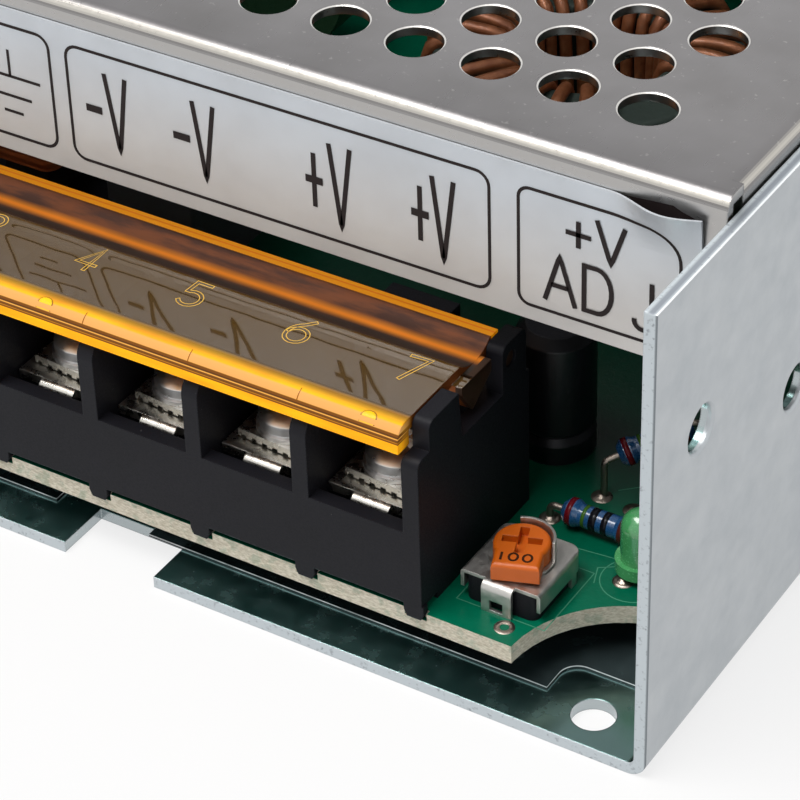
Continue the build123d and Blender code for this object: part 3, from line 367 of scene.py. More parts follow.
def amber_plastic():
    """Clear amber: dark and mirror-like on the flat; lip, trough and rib painted glowing by emission
    as painted light gathered in its edges, the lip with painted reflection bands, the pivot pins
    painted dark as shade.
    """
    look = Look("amber_plastic", IOR=1.6, Specular_IOR_Level=1.0)
    depth = look.depth()
    streak = look.noise(0.5, 5.0, look.stretch(0.35, 2.0, 2.0))
    level = look.span(look.facing[2], 0.5, 0.8)
    flat = look.times(look.band(depth, 3.1, 10.1, 0.2), level)
    lip = look.span(depth, 1.8, 3.4, 1.0, 0.0)
    trough = look.times(look.band(depth, 12.0, 12.6, 0.4), level)
    rib = look.band(depth, 14.3, 16.0, 0.08)
    groove = look.band(depth, 14.8, 14.92, 0.05)
    brown = look.mottle(streak, (70, 38, 22), (118, 64, 28), 0.4, 0.6)
    yellow = look.mottle(streak, (244, 166, 0), (250, 188, 0), 0.35, 0.65)
    behind = look.mix(look.span(depth, 11.2, 12.2), srgb(46, 36, 28), brown)
    colour = look.mix(level, srgb(150, 78, 12), behind)
    # Painted light: trough, rib, groove and lip get bright orange and yellow for light piped through
    # the amber.
    for share, tone in (
        (trough, srgb(236, 134, 0)),
        (rib, srgb(255, 160, 2)),
        (groove, srgb(214, 112, 4)),
        (lip, yellow),
    ):
        colour = look.mix(share, colour, tone)
    # Painted shade: the pivot pins outside the plate are dark brown where they sit in the ears'
    # holes.
    between_pins = look.band(look.x, -37.47, 28.47, 0.02)
    colour = look.mix(between_pins, srgb(60, 34, 10), colour)
    for start, end, tone in LIP_PAINTED_BANDS:
        line = look.times(lip, look.band(look.z, start, end, 0.03))
        colour = look.mix(line, colour, srgb(*tone))
    # Painted glow: emission strength on the lip, trough and rib.
    glow = look.times(between_pins, look.most(lip, trough, rib))
    look.set(Base_Color=look.mix(flat, colour, srgb(108, 80, 34)))
    look.set(Metallic=look.mix(lip, look.span(flat, 0.0, 1.0, 0.7, 0.0), grey(0.75)))
    look.set(Transmission_Weight=look.span(flat, 0.0, 1.0, 0.1, 0.5))
    look.set(Emission_Color=colour, Emission_Strength=look.span(glow, 0.0, 1.0, 0.0, 0.32))
    matt = look.mix(lip, look.uneven(streak, 0.42, 0.56), grey(0.85))
    look.set(Roughness=look.mix(flat, matt, grey(0.03)))
    steeper = look.span(depth, 8.6, 10.1, 0.0, 0.14)
    dished = look.math("ADD", look.times(depth, 0.14), steeper)
    look.relief([(look.times(dished, flat), 1.0), (look.noise(0.15, 2.0), 0.04)], 0.15)
    return look


def bright_metal(name, colour, roughness=(0.12, 0.3), pits=0.012, bevel=0.08):
    """Plated small parts: bright, slightly pitted and finely scratched."""
    look = Look(name, Metallic=1.0)
    scratch = look.noise(3.0, 6.0, look.stretch(4.0, 0.6, 2.0))
    dull = look.noise(1.2, 4.0)
    look.set(Base_Color=look.shade(srgb(*colour), dull, 0.88, 1.06))
    look.set(Roughness=look.uneven(dull, *roughness))
    look.relief([(scratch, pits)], bevel)
    return look


def led_green():
    """A clear green lens."""
    look = Look("led_green", Transmission_Weight=0.2, IOR=1.5, Coat_Weight=1.0)
    cloud = look.noise(0.8, 2.0)
    look.set(Base_Color=look.mix(cloud, srgb(60, 150, 86), srgb(92, 184, 116)))
    look.set(Roughness=look.uneven(look.noise(6.0), 0.18, 0.3))
    look.relief([(cloud, 0.01)])
    return look


def resistor_blue():
    """Lacquer over a resistor's body."""
    look = Look("resistor_blue", Coat_Weight=0.8)
    cloud = look.noise(2.0, 3.0)
    look.set(Base_Color=look.mix(cloud, srgb(22, 68, 116), srgb(42, 94, 144)))
    look.set(Roughness=look.uneven(look.noise(8.0), 0.22, 0.35))
    look.relief([(cloud, 0.02)])
    return look


def sleeve(name, colour, bare=(196, 198, 200)):
    """A shrink sleeve round an aluminium can whose top is bare."""
    look = Look(name)
    top = look.span(look.facing[2], 0.5, 0.9)
    fine = look.noise(3.0, 5.0)
    wrap = look.shade(srgb(*colour), fine, 0.85, 1.15)
    look.set(Base_Color=look.mix(top, wrap, srgb(*bare)))
    look.set(Metallic=top, Roughness=look.uneven(fine, 0.3, 0.42))
    look.relief([(fine, 0.01)], 0.2)
    return look


def copper():
    """Enamelled round wire: warm brown red with a clear gloss."""
    look = Look("copper", Metallic=0.35, Coat_Weight=0.3)
    look.set(Base_Color=look.mottle(look.noise(0.9, 4.0), (142, 84, 52), (178, 114, 76)))
    look.set(Roughness=look.uneven(look.noise(4.0), 0.36, 0.5))
    look.relief([(look.noise(5.0), 0.01)])
    return look


def wrapped(name, colour, pitch):
    """Tape or wire wound in level turns."""
    look = Look(name, Coat_Weight=0.3)
    turns = look.math("PINGPONG", look.z, pitch / 2)
    cloud = look.noise(0.6, 4.0)
    look.set(Base_Color=look.shade(srgb(*colour), cloud, 0.85, 1.12))
    look.set(Roughness=look.uneven(cloud, 0.3, 0.45))
    look.relief([(turns, 0.12)], 0.1)
    return look


def ink(name, colour, roughness=(0.2, 0.3)):
    """Printed ink or paint: solid with a faint screen mottle."""
    return grained(
        name, colour, roughness, vary=0.12, grain=6.0, bump=0.003, Specular_IOR_Level=0.2
    )


def black_plastic():
    """Moulded black with a few pale specks of dust."""
    look = grained(
        "black_plastic", (22, 22, 27), (0.42, 0.6), vary=0.1, grain=7.0, bump=0.008, bevel=0.15,
        Specular_IOR_Level=0.15,
    )
    dust = look.span(look.noise(2.6, 2.0), 0.76, 0.8)
    clean = look.shader.inputs["Base Color"].links[0].from_socket
    look.set(Base_Color=look.mix(dust, clean, srgb(74, 72, 74)))
    return look


MATT = (0.45, 0.6)


def make_looks():
    made = [
        base_metal(),
        cover_metal(),
        bright_metal("rim_highlight_metal", (214, 212, 208), (0.3, 0.45), 0.004, 0.0),
        label_foil(),
        board_green(),
        clear_film(),
        amber_plastic(),
        black_plastic(),
        bright_metal("nickel", (216, 213, 205), (0.2, 0.36), 0.014),
        bright_metal("zinc_screw", (240, 240, 240), (0.26, 0.38), 0.003),
        bright_metal("tin_plate", (196, 194, 190), (0.3, 0.5), 0.02, 0.06),
        bright_metal("solder", (150, 140, 130), (0.25, 0.45), 0.03),
        grained("orange_plastic", (206, 96, 10), (0.35, 0.5), grain=5.0, bevel=0.1),
        led_green(),
        resistor_blue(),
        sleeve("sleeve_black", (34, 36, 44)),
        # The small capacitor: black sleeve, its top dark instead of bare aluminium as painted shade.
        sleeve("sleeve_dark", (16, 16, 20), (30, 30, 34)),
        copper(),
        grained("core_green", (56, 70, 64), (0.55, 0.7), grain=2.0, bump=0.05),
        grained("ferrite", (58, 58, 60), (0.5, 0.7), grain=4.0, bump=0.03, bevel=0.3),
        wrapped("tape_yellow", (214, 176, 40), 5.0),
        wrapped("coil", (168, 92, 50), 0.8),
        grained("box_grey", (62, 66, 70), (0.4, 0.55), bevel=0.2),
        grained("glass_tube", (206, 212, 210), (0.06, 0.12), Transmission_Weight=0.8, IOR=1.5),
        grained("disc_green", (44, 74, 50), (0.35, 0.5), bump=0.05),
        grained("disc_blue", (34, 84, 152), (0.3, 0.45), bump=0.05),
        bright_metal("bar_metal", (184, 186, 188), (0.35, 0.5), 0.02, 0.2),
        bright_metal("brass", (196, 164, 92), (0.25, 0.4)),
        ink("ink_black", (36, 28, 28), MATT),
        ink("ink_white", (70, 140, 112), MATT),
        ink("ink_brown", (52, 22, 6), MATT),
        ink("line_brown", (150, 88, 8)),
        ink("mark_yellow", (255, 208, 20)),
        ink("line_yellow", (236, 190, 84)),
        ink("band_red", (104, 16, 26)),
        ink("band_green", (62, 104, 34)),
        ink("band_black", (18, 18, 24)),
        ink("band_brown", (78, 36, 30)),
    ]
    return {look.name: look for look in made}


looks = make_looks()

DRESS = {
    "base_metal": ["chassis"],
    "cover_metal": ["cover"],
    "label_foil": ["label"],
    "board_green": ["circuit_board"],
    "clear_film": ["insulating_film"],
    "amber_plastic": ["terminal_cover"],
    "black_plastic": [
        "terminal_block", "trimmer_body", "transformer_bobbin", "choke_base",
        "bridge_rectifier", "control_chips", "power_devices",
    ],
    "nickel": ["terminal_contacts"] + [f"clamp_{n}" for n in range(1, 8)],
    "zinc_screw": ["board_screws", "cover_screws"] + [f"screw_{n}" for n in range(1, 8)],
    "tin_plate": ["trimmer_bracket", "trimmer_wiper", "fuse_clips"],
    "orange_plastic": ["trimmer_knob"],
    "led_green": ["led"],
    "resistor_blue": ["resistors"],
    "solder": ["resistor_leads"],
    "sleeve_black": ["output_capacitors", "input_capacitors"],
    "sleeve_dark": ["small_capacitor"],
    "core_green": ["inductor_core"],
    "copper": ["inductor_winding"],
    "ferrite": ["transformer_core", "choke_core"],
    "tape_yellow": ["transformer_winding"],
    "coil": ["choke_coils"],
    "box_grey": ["x_capacitor"],
    "glass_tube": ["fuse"],
    "disc_green": ["thermistor"],
    "disc_blue": ["y_capacitors"],
    "bar_metal": ["heat_bars"],
    "brass": ["standoffs"],
}


def dress_nodes():
    for look, names in DRESS.items():
        for name in names:
            node = nodes[name]
            node.data.materials.clear()
            node.data.materials.append(looks[look].material)
            for face in node.data.polygons:
                face.material_index = 0


dress_nodes()


# Pieces


def piece(name, verts, faces, look, body="case", smooth=False):
    mesh = bpy.data.meshes.new(name)
    mesh.from_pydata([tuple(v) for v in verts], [], faces)
    mesh.update()
    for face in mesh.polygons:
        face.use_smooth = smooth
    made = bpy.data.objects.new(name, mesh)
    bpy.context.scene.collection.objects.link(made)
    mesh.materials.append(looks[look].material)
    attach(made, body)
    return made


def angles(start, end, steps):
    return [radians(start + (end - start) * n / steps) for n in range(steps + 1)]


def oval(x, y, across, up, start=0, end=360, steps=10):
    return [(x + across * cos(t), y + up * sin(t)) for t in angles(start, end, steps)]


def arc(x, y, radius, start=0, end=360, steps=10):
    return oval(x, y, radius, radius, start, end, steps)


def rounded(x0, y0, x1, y1, radius):
    """A closed rounded rectangle, from its lower left corner round to the right."""
    return (
        arc(x0 + radius, y0 + radius, radius, 180, 270, 6)
        + arc(x1 - radius, y0 + radius, radius, 270, 360, 6)
        + arc(x1 - radius, y1 - radius, radius, 0, 90, 6)
        + arc(x0 + radius, y1 - radius, radius, 90, 180, 6)
    )


def resampled(line, step=0.4):
    """The same line with no run longer than step."""
    made = [line[0]]
    for a, b in zip(line, line[1:]):
        count = max(1, int(Vector((b[0] - a[0], b[1] - a[1])).length / step))
        made += [
            (a[0] + (b[0] - a[0]) * n / count, a[1] + (b[1] - a[1]) * n / count)
            for n in range(1, count + 1)
        ]
    return made


def edges_of(line, width):
    """The two sides of a stroke of that width, mitred at its corners."""
    points = [Vector(p) for p in line]
    closed = (points[0] - points[-1]).length < 1e-6
    if closed:
        points = points[:-1]
    count = len(points)
    left, right = [], []
    for n, here in enumerate(points):
        before = points[n - 1] if n or closed else None
        after = points[(n + 1) % count] if n < count - 1 or closed else None
        runs = [(b - a).normalized() for a, b in ((before, here), (here, after)) if a and b]
        along = sum(runs, Vector((0, 0))).normalized()
        across = Vector((-along.y, along.x))
        reach = width / 2 / max(0.7, across.dot(Vector((-runs[0].y, runs[0].x))))
        left.append(here + across * reach)
        right.append(here - across * reach)
    if closed:
        left.append(left[0])
        right.append(right[0])
    return left, right


def ribbon(start, count):
    """The faces between pairs of points that follow each other from start."""
    return [
        (start + 2 * n, start + 2 * n + 1, start + 2 * n + 3, start + 2 * n + 2)
        for n in range(count - 1)
    ]


def strokes(name, lines, width, place, look, body="case"):
    """Flat printed or engraved lines, laid on a surface by place(a, b)."""
    verts, faces = [], []
    for line in lines:
        left, right = edges_of(line, width)
        faces += ribbon(len(verts), len(left))
        for a, b in zip(left, right):
            verts += [place(*a), place(*b)]
    return piece(name, verts, faces, look, body)


def lathe(name, profile, origin, direction, look, body="case", steps=32):
    """A turned form from (radius, height) pairs along a direction."""
    turn = Vector(direction).to_track_quat("Z", "Y").to_matrix()
    verts, faces = [], []
    for radius, height in profile:
        for n in range(steps):
            angle = 2 * pi * n / steps
            spin = Vector((radius * cos(angle), radius * sin(angle), height))
            verts.append((Vector(origin) + turn @ spin) * MM)
    for ring in range(len(profile) - 1):
        for n in range(steps):
            a, b = ring * steps + n, ring * steps + (n + 1) % steps
            faces.append((a, b, b + steps, a + steps))
    return piece(name, verts, faces, look, body, smooth=True)


# Label and its print

LABEL_TOP, LABEL_LOW = 40.05, 27.35
LABEL_FACE = high("label").y - 0.25
LABEL_THICKNESS = 0.2
RIDGE_HEIGHT, RIDGE_INSET, RIDGE_HALF, RIDGE_FOOT = 1.1, 5.6, 4.4, 36.2


def lifted(x, z):
    """How far the loose top right corner of the label stands off the cover."""
    away = min(1.0, abs(RIGHT - x - RIDGE_INSET) / RIDGE_HALF)
    ridge = 0.5 + 0.5 * cos(pi * away)
    return RIDGE_HEIGHT * ridge * max(0.0, (z - RIDGE_FOOT) / (LABEL_TOP - RIDGE_FOOT)) ** 1.6


def label_place(x, z, proud=0.0):
    return point(x, LABEL_FACE - lifted(x, z) - proud, z)


def make_label():
    """A thin foil sheet, its loose corner lifted into a ridge."""
    left, right = low("label").x, high("label").x
    across, up = 301, 25
    columns = [left + (right - left) * n / (across - 1) for n in range(across)]
    rows = [LABEL_LOW + (LABEL_TOP - LABEL_LOW) * n / (up - 1) for n in range(up)]
    sheets = [
        [label_place(x, z, proud) for z in rows for x in columns]
        for proud in (0.0, -LABEL_THICKNESS)
    ]
    faces = []
    for r in range(up - 1):
        for c in range(across - 1):
            a = r * across + c
            faces.append((a, a + 1, a + 1 + across, a + across))
            b = a + across * up
            faces.append((b + across, b + 1 + across, b + 1, b))
    rim = list(range(across)) + [r * across + across - 1 for r in range(1, up)]
    rim += [(up - 1) * across + c for c in range(across - 2, -1, -1)]
    rim += [r * across for r in range(up - 2, 0, -1)]
    for a, b in zip(rim, rim[1:] + rim[:1]):
        faces.append((b, a, a + across * up, b + across * up))
    made = piece("label_sheet", sheets[0] + sheets[1], faces, "label_foil")
    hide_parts("label")


# The print's places are measured from the right wall's outside and the underside.


def ground_mark(u):
    """A stem over three bars, each shorter than the one above."""
    bars = ((2.83, 34.1), (1.86, 32.36), (0.91, 30.95))
    return [[(u, 36.42), (u, 34.1)]] + [[(u - half, z), (u + half, z)] for half, z in bars]


def sign(u, z, half, cross=0.0):
    """A minus, or a plus where a cross stroke is given."""
    lines = [[(u - half, z), (u + half, z)]]
    if cross:
        lines.append([(u, z - cross), (u, z + cross)])
    return lines


def print_lines():
    """The terminal signs, from the right wall inwards, with their stroke widths."""
    adjuster = rounded(-17.05, 28.6, -4.35, 38.34, 0.9)
    adjuster[13:21] = arc(-7.0, 35.69, 2.65, 0, 90)
    boxes = [
        adjuster,
        rounded(-55.9, 28.7, -19.4, 38.5, 1.1),
        rounded(-65.4, 28.78, -57.5, 38.56, 1.1),
        rounded(-91.8, 28.78, -67.6, 38.56, 1.1),
    ]
    boxes = [box + box[:1] for box in boxes]
    tall = [
        [(-52.46, 36.93), (-51.51, 30.3), (-50.57, 36.93)],
        [(-44.55, 36.93), (-43.66, 30.3), (-42.7, 36.93)],
        [(-32.68, 36.91), (-31.82, 29.86), (-30.9, 36.91)],
        [(-24.07, 36.88), (-23.19, 29.86), (-22.29, 36.88)],
        [(-34.05, 31.1), (-34.05, 35.7)],
        [(-25.1, 31.1), (-25.1, 35.7)],
        [(-76.2, 30.3), (-76.2, 36.9), (-73.4, 30.3), (-73.4, 36.9)],
        [(-86.4, 36.9), (-86.4, 30.3), (-84.0, 30.3)],
    ]
    heavy = sign(-53.64, 33.54, 0.73) + sign(-45.68, 33.53, 0.75)
    heavy += sign(-34.05, 33.42, 0.74) + sign(-25.1, 33.4, 0.73)
    small = sign(-12.28, 35.74, 1.0, 1.09)
    small += [
        [(-10.83, 37.43), (-9.71, 34.08), (-8.62, 37.4)],
        [(-14.92, 29.52), (-13.74, 33.5), (-12.49, 29.52)],
        [(-14.42, 30.95), (-13.02, 30.95)],
        [(-10.75, 33.38), (-11.8, 33.38), (-11.8, 29.68), (-10.75, 29.68)]
        + oval(-10.75, 31.53, 1.12, 1.85, -75, 90),
        [(-6.5, 33.58), (-6.5, 30.3)] + arc(-7.17, 30.2, 0.67, 0, -190),
    ]
    return (boxes + ground_mark(-61.47), 0.26), (tall, 0.4), (heavy, 0.62), (small, 0.38)


def make_print():
    for number, (lines, width) in enumerate(print_lines(), 1):
        moved = [resampled([(RIGHT + u, z) for u, z in line]) for line in lines]
        proud = 0.01 + 0.01 * number
        made = strokes(
            f"label_print_{number}", moved, width, lambda x, z: label_place(x, z, proud), "ink_black"
        )


def make_corner_shadow():
    """A dark patch on the cover above the loose corner, a painted shadow behind the lifted label."""
    bottom, face = 38.6, LABEL_FACE + 0.24
    top = [
        (-12.0, 39.88), (-10.3, 39.92), (-8.5, 40.0), (-6.8, 40.15), (-5.2, 40.28),
        (-4.5, 39.98), (-3.0, 39.6),
    ]
    verts = [point(RIGHT + u, face, z) for u, z in top]
    verts += [point(RIGHT + u, face, bottom) for u, _ in top]
    count = len(top)
    faces = [(n, n + 1, n + 1 + count, n + count) for n in range(count - 1)]
    piece("label_corner_shadow", verts, faces, "ink_black")


make_label()
make_corner_shadow()
make_print()


# Painted highlight rims of the cover's vents

VENT_ROWS, VENT_COLUMNS, VENT_PITCH = 11, 13, 6.3
FIRST_ROW, ROWS_APART = FRONT + 19.6, 5.33
RIM_HIGHLIGHT_RINGS = ((2.26, 0.005), (2.13, 0.07))  # radius, drop below the cover's top


def make_rim_highlights():
    """The thin pale burr round every vent, just inside the punched edge, its paleness a painted
    highlight.
    """
    verts, faces = [], []
    top, steps = high("cover").z, 40
    for row in range(VENT_ROWS):
        columns = VENT_COLUMNS - row % 2
        for column in range(columns):
            x, y = (column - (columns - 1) / 2) * VENT_PITCH, FIRST_ROW + ROWS_APART * row
            start = len(verts)
            for radius, drop in RIM_HIGHLIGHT_RINGS:
                verts += [point(a, b, top - drop) for a, b in arc(x, y, radius, steps=steps)[:-1]]
            for n in range(steps):
                here, after = start + n, start + (n + 1) % steps
                faces.append((here, here + steps, after + steps, after))
    piece("vent_rim_highlights", verts, faces, "rim_highlight_metal", smooth=True)


make_rim_highlights()


# Numbers on the flip cover

DIGITS = {
    1: [[(-0.35, 0.95), (0.15, 1.5), (0.15, -1.5)]],
    2: [arc(0, 0.7, 0.8, 160, -30, 10) + [(-0.8, -1.5), (0.85, -1.5)]],
    3: [arc(-0.05, 0.75, 0.75, 150, -80, 10), arc(-0.05, -0.7, 0.82, 85, -150, 10)],
    4: [[(0.3, -1.5), (0.3, 1.5), (-0.85, -0.6), (0.9, -0.6)]],
    5: [[(0.75, 1.5), (-0.6, 1.5), (-0.7, 0.2)] + arc(0.0, -0.55, 0.9, 120, -150, 12)],
    6: [[(0.55, 1.5)] + arc(0.55, -0.5, 1.45, 118, 180, 6) + arc(0.0, -0.6, 0.88, 180, 530, 16)],
    7: [[(-0.85, 1.4), (0.8, 1.5), (-0.2, -1.5)]],
}


def outlined(line, width):
    """Both sides of a stroke and its two ends, as one closed line."""
    left, right = edges_of(line, width)
    return [tuple(p) for p in left + right[::-1] + left[:1]]


def make_digits():
    """Double-line numbers cut into the flat of the flip cover, right of each way's middle."""
    top = high("terminal_cover").z + 0.008
    last, depth = high("terminal_block").x - 4.6, 7.98
    lines = []
    for number, shapes in DIGITS.items():
        middle = last - PITCH * (WAYS - number)
        for shape in shapes:
            lines.append(outlined([(middle + a, FRONT + depth + b) for a, b in shape], 0.3))
    strokes(
        "way_numbers", lines, 0.07, lambda x, y: point(x, y, top), "line_yellow", "terminal_cover"
    )


make_digits()


LIP_FRONT, LIP_RADIUS = low("terminal_cover").y, 1.2


def lip_place(x, run):
    """A place on the cover's front lip, run down over its rounding."""
    bent = min(run / LIP_RADIUS, pi / 2)
    below = max(0.0, run - LIP_RADIUS * pi / 2)
    y = LIP_FRONT + LIP_RADIUS - (LIP_RADIUS + 0.01) * sin(bent)
    z = high("terminal_cover").z - LIP_RADIUS + LIP_RADIUS * cos(bent) - below
    return point(x, y, z)


def make_lip_marks():
    """Arched ejector marks and a thin moulding line at each divider."""
    half, crown, foot, rise = 0.62, 0.72, 1.2, 0.5
    last_wall = high("terminal_block").x - 0.7
    arches, verts, faces = [], [], []
    for ways in (0, 3, 6):
        middle = RIGHT - 23.6 - PITCH * ways
        arch = [(middle + half, foot), *oval(middle, crown, half, -rise, 0, 180, 12)]
        arches.append(arch + [(middle - half, foot)])
    ticks = [
        [(last_wall - PITCH * number, 0.3 + 0.1 * n) for n in range(11)]
        for number in range(1, WAYS)
    ]
    strokes("lip_ticks", ticks, 0.08, lip_place, "line_brown", "terminal_cover")
    for arch in arches:
        pairs = list(zip(arch, arch[::-1]))[:len(arch) // 2]
        faces += ribbon(len(verts), len(pairs))
        for a, b in pairs:
            verts += [lip_place(*a), lip_place(*b)]
    piece("lip_marks", verts, faces, "mark_yellow", "terminal_cover")
    strokes("lip_arches", arches, 0.12, lip_place, "line_brown", "terminal_cover")


make_lip_marks()


def knob_place(a, b):
    """A place on the knob's top, turned with it."""
    x, y, _ = spot(14.75, 8.1, 0)
    turn = radians(20)
    return point(
        x + a * cos(turn) - b * sin(turn),
        y + a * sin(turn) + b * cos(turn),
        high("trimmer_knob").z + 0.01,
    )


def make_knob_number():
    """A plain 100: one stroke and two ovals."""
    lines = [[(-1.2, -1.6), (-1.2, -2.5)]]
    lines += [oval(middle, -2.05, 0.33, 0.42, steps=14) for middle in (-0.3, 0.75)]
    strokes("knob_number", lines, 0.19, knob_place, "ink_brown", "trimmer_knob")


make_knob_number()


# Small parts on the board

BOARD_TOP = high("circuit_board").z


def make_bands():
    """Painted rings round both resistor bodies."""
    turn, rise = radians(42), radians(20)
    heading = Vector((cos(rise) * cos(turn), cos(rise) * sin(turn), sin(rise)))
    lying = Vector(spot(15.6, 16.0, BOARD_TOP + 1.37))
    leaning = Vector(spot(14.6, 20.3, BOARD_TOP + 3.4)) + heading * 1.2
    bulge, neck, proud = 1.12, 0.9, 0.015
    plan = [
        ("band_red", 0.5, 0.95, bulge),
        ("band_green", 1.75, 2.05, neck),
        ("band_black", 2.4, 3.0, neck),
        ("band_black", 3.45, 3.95, neck),
        ("band_brown", 4.95, 5.45, bulge),
    ]
    for row, (start, way) in enumerate(((lying, Vector((1, 0, 0))), (leaning, heading)), 1):
        for number, (look, begin, end, radius) in enumerate(plan, 1):
            outer = radius + proud
            profile = [(radius, begin), (outer, begin), (outer, end), (radius, end)]
            lathe(f"resistor_{row}_band_{number}", profile, start, way, look, steps=40)


def make_pads():
    """Tinned pads with a small solder mound, and one still open."""
    mounds = [(14.73, 20.2), (11.82, 19.9), (8.51, 12.2), (16.9, 16.0), (8.3, 16.0)]
    mound = [(0.85, 0.0), (0.85, 0.03), (0.6, 0.07), (0.4, 0.15), (0.3, 0.3), (0.02, 0.34)]
    ring = [(0.35, 0.02), (0.4, 0.06), (0.75, 0.05), (0.8, 0.0)]
    pads = [(f"solder_{n}", mound, place) for n, place in enumerate(mounds, 1)]
    for name, profile, place in pads + [("pad_front", ring, (13.5, 3.3))]:
        lathe(name, profile, spot(*place, BOARD_TOP), (0, 0, 1), "solder", steps=24)


def make_legend():
    """Thin part outlines printed on the board, from the right wall and the front edge."""
    lines = [
        arc(-7.9, 12.6, 2.5, steps=32),
        [(-10.3, 10.9), (-10.9, 12.6), (-9.9, 13.3)],
        [(-15.8, 13.6), (-9.9, 14.2)],
        [(-18.2, 4.4), (-18.2, 11.9), (-10.8, 11.9), (-10.8, 4.4), (-18.2, 4.4)],
        [(-15.9, 17.3), (-9.3, 17.3)],
        [(-14.0, 21.5), (-9.2, 26.0)],
    ]
    moved = [resampled([(RIGHT + u, FRONT + v) for u, v in line], 1.0) for line in lines]
    above = BOARD_TOP + 0.012
    strokes("board_legend", moved, 0.09, lambda x, y: point(x, y, above), "ink_white")


make_bands()
make_pads()
make_legend()


# Copper turns of the output inductor


def turns_path(wire, turns=26, steps=16, slack=0.15, inner=7.25):
    """The route of the wire round the lying ring, loose and slightly uneven."""
    core_low, core_high = low("inductor_core"), high("inductor_core")
    middle = (core_low + core_high) / 2
    outer, half = (core_high - core_low).x / 2, (core_high - core_low).z / 2
    path = []
    for n in range(turns * steps + 1):
        spin = radians(-5 + 320 * n / (turns * steps))
        phase = 2 * pi * n / steps
        radial, level = cos(phase), sin(phase)
        squash = max(abs(radial), abs(level)) ** 0.8
        reach = (outer + inner) / 2 + radial / squash * ((outer - inner) / 2 + wire + slack)
        spin += 0.05 * sin(phase) + 0.02 * sin(n * 0.7)
        offset = (reach * cos(spin), reach * sin(spin), level / squash * (half + wire + slack))
        path.append((middle + Vector(offset)) * MM)
    return path


def make_turns():
    """Thick enamelled wire wound loosely round the ring, replacing the plain winding."""
    wire = 0.6
    path = turns_path(wire)
    curve = bpy.data.curves.new("inductor_turns", "CURVE")
    curve.dimensions = "3D"
    curve.bevel_depth = wire * MM
    curve.bevel_resolution = 3
    curve.resolution_u = 2
    spline = curve.splines.new("NURBS")
    spline.points.add(len(path) - 1)
    for control, place in zip(spline.points, path):
        control.co = (*place, 1.0)
    spline.order_u = 4
    spline.use_endpoint_u = True
    made = bpy.data.objects.new("inductor_turns", curve)
    bpy.context.scene.collection.objects.link(made)
    curve.materials.append(looks["copper"].material)
    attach(made, "case")
    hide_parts("inductor_winding")


make_turns()


# Camera, floor and light


def make_camera():
    """Three-quarter view from the front right, matched to the photograph."""
    azimuth, elevation, roll = radians(32.863), radians(36.586), radians(-1.912)
    place, lens = point(124.859, -227.475, 157.235), 143.162
    back = Vector((sin(azimuth) * cos(elevation), -cos(azimuth) * cos(elevation), sin(elevation)))
    side = Vector((cos(azimuth), sin(azimuth), 0))
    above = back.cross(side)
    right = side * cos(roll) + above * sin(roll)
    up = above * cos(roll) - side * sin(roll)
    data = bpy.data.cameras.new("camera")
    data.sensor_width = 36.0
    data.lens = lens
    data.clip_start, data.clip_end = 0.01, 20.0
    camera = bpy.data.objects.new("camera", data)
    axes = Matrix((right, up, back)).transposed().to_4x4()
    camera.matrix_world = Matrix.Translation(place) @ axes
    bpy.context.scene.collection.objects.link(camera)
    bpy.context.scene.camera = camera


def background_rays(tree):
    """One for camera, mirror-like and see-through rays, before any soft bounce."""
    path = tree.nodes.new("ShaderNodeLightPath")
    total = path.outputs["Is Camera Ray"]
    for name, operation in (
        ("Is Glossy Ray", "MAXIMUM"),
        ("Is Transmission Ray", "MAXIMUM"),
        ("Diffuse Depth", "SUBTRACT"),
    ):
        node = tree.nodes.new("ShaderNodeMath")
        node.operation = operation
        node.use_clamp = True
        tree.links.new(total, node.inputs[0])
        tree.links.new(path.outputs[name], node.inputs[1])
        total = node.outputs[0]
    return total


def make_world():
    world = bpy.data.worlds.new("studio")
    bpy.context.scene.world = world
    world.use_nodes = True
    tree = world.node_tree
    soft = tree.nodes["Background"]
    soft.inputs["Color"].default_value = (0.96, 0.98, 1.0, 1.0)
    soft.inputs["Strength"].default_value = 0.22
    white = tree.nodes.new("ShaderNodeBackground")
    white.inputs["Color"].default_value = (1.0, 1.0, 1.0, 1.0)
    white.inputs["Strength"].default_value = 1.0
    blend = tree.nodes.new("ShaderNodeMixShader")
    tree.links.new(background_rays(tree), blend.inputs[0])
    tree.links.new(soft.outputs[0], blend.inputs[1])
    tree.links.new(white.outputs[0], blend.inputs[2])
    tree.links.new(blend.outputs[0], tree.nodes["World Output"].inputs["Surface"])


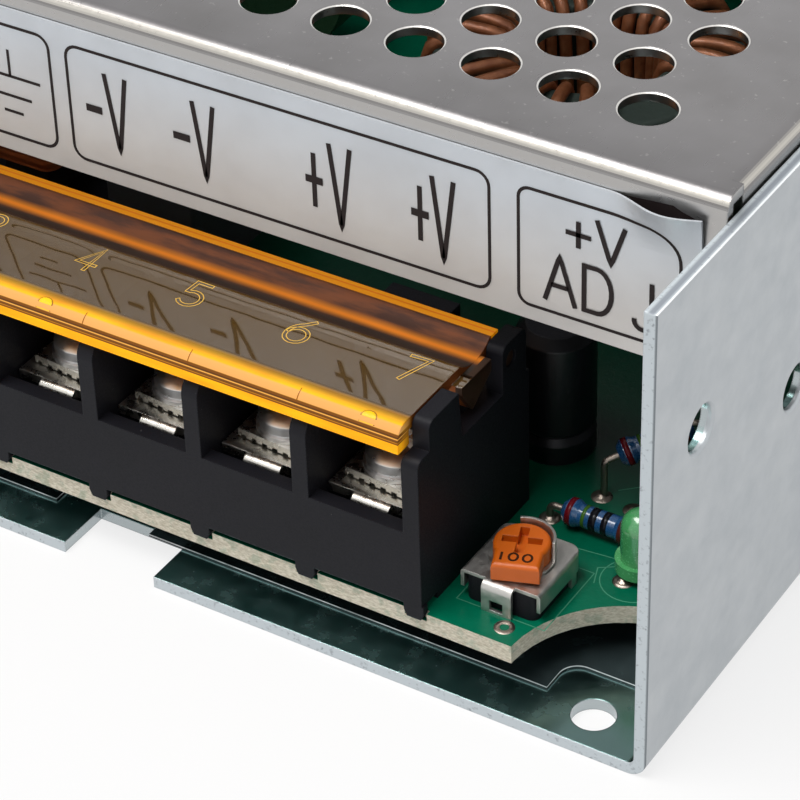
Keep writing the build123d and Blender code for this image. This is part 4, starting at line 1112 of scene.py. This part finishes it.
def make_floor():
    """A pale floor that stays white to the camera and still takes a faint shadow."""
    material = bpy.data.materials.new("floor")
    material.use_nodes = True
    tree = material.node_tree
    paint = tree.nodes["Principled BSDF"]
    paint.inputs["Base Color"].default_value = (0.86, 0.86, 0.86, 1.0)
    paint.inputs["Roughness"].default_value = 0.9
    glow = tree.nodes.new("ShaderNodeEmission")
    glow.inputs["Strength"].default_value = 1.0
    share = tree.nodes.new("ShaderNodeMath")
    share.operation = "MULTIPLY"
    share.inputs[1].default_value = 0.8
    tree.links.new(background_rays(tree), share.inputs[0])
    blend = tree.nodes.new("ShaderNodeMixShader")
    tree.links.new(share.outputs[0], blend.inputs[0])
    tree.links.new(paint.outputs[0], blend.inputs[1])
    tree.links.new(glow.outputs[0], blend.inputs[2])
    tree.links.new(blend.outputs[0], tree.nodes["Material Output"].inputs["Surface"])
    mesh = bpy.data.meshes.new("floor")
    reach = 4000.0
    corners = [point(a * reach, b * reach, -0.02) for a, b in ((-1, -1), (1, -1), (1, 1), (-1, 1))]
    mesh.from_pydata([tuple(c) for c in corners], [], [(0, 1, 2, 3)])
    mesh.materials.append(material)
    floor = bpy.data.objects.new("floor", mesh)
    bpy.context.scene.collection.objects.link(floor)


LAMP_AIM = Vector((0.02, -0.05, 0.02))


def make_lamp(name, place, size, power, colour):
    """A soft panel aimed at the terminal end of the case, its places in metres."""
    data = bpy.data.lights.new(name, "AREA")
    data.shape = "RECTANGLE"
    data.size, data.size_y = size
    data.energy = power
    data.color = colour
    lamp = bpy.data.objects.new(name, data)
    lamp.location = place
    aim = LAMP_AIM - Vector(place)
    lamp.rotation_euler = aim.to_track_quat("-Z", "Y").to_euler()
    bpy.context.scene.collection.objects.link(lamp)


make_camera()
make_world()
make_floor()
make_lamp("key", (-0.22, -0.42, 1.1), (0.8, 0.5), 13.0, (1.0, 0.98, 0.96))
make_lamp("side", (0.9, -0.5, 0.9), (0.4, 0.4), 1.5, (0.95, 0.98, 1.0))

scene = bpy.context.scene
scene.view_settings.view_transform = "Standard"
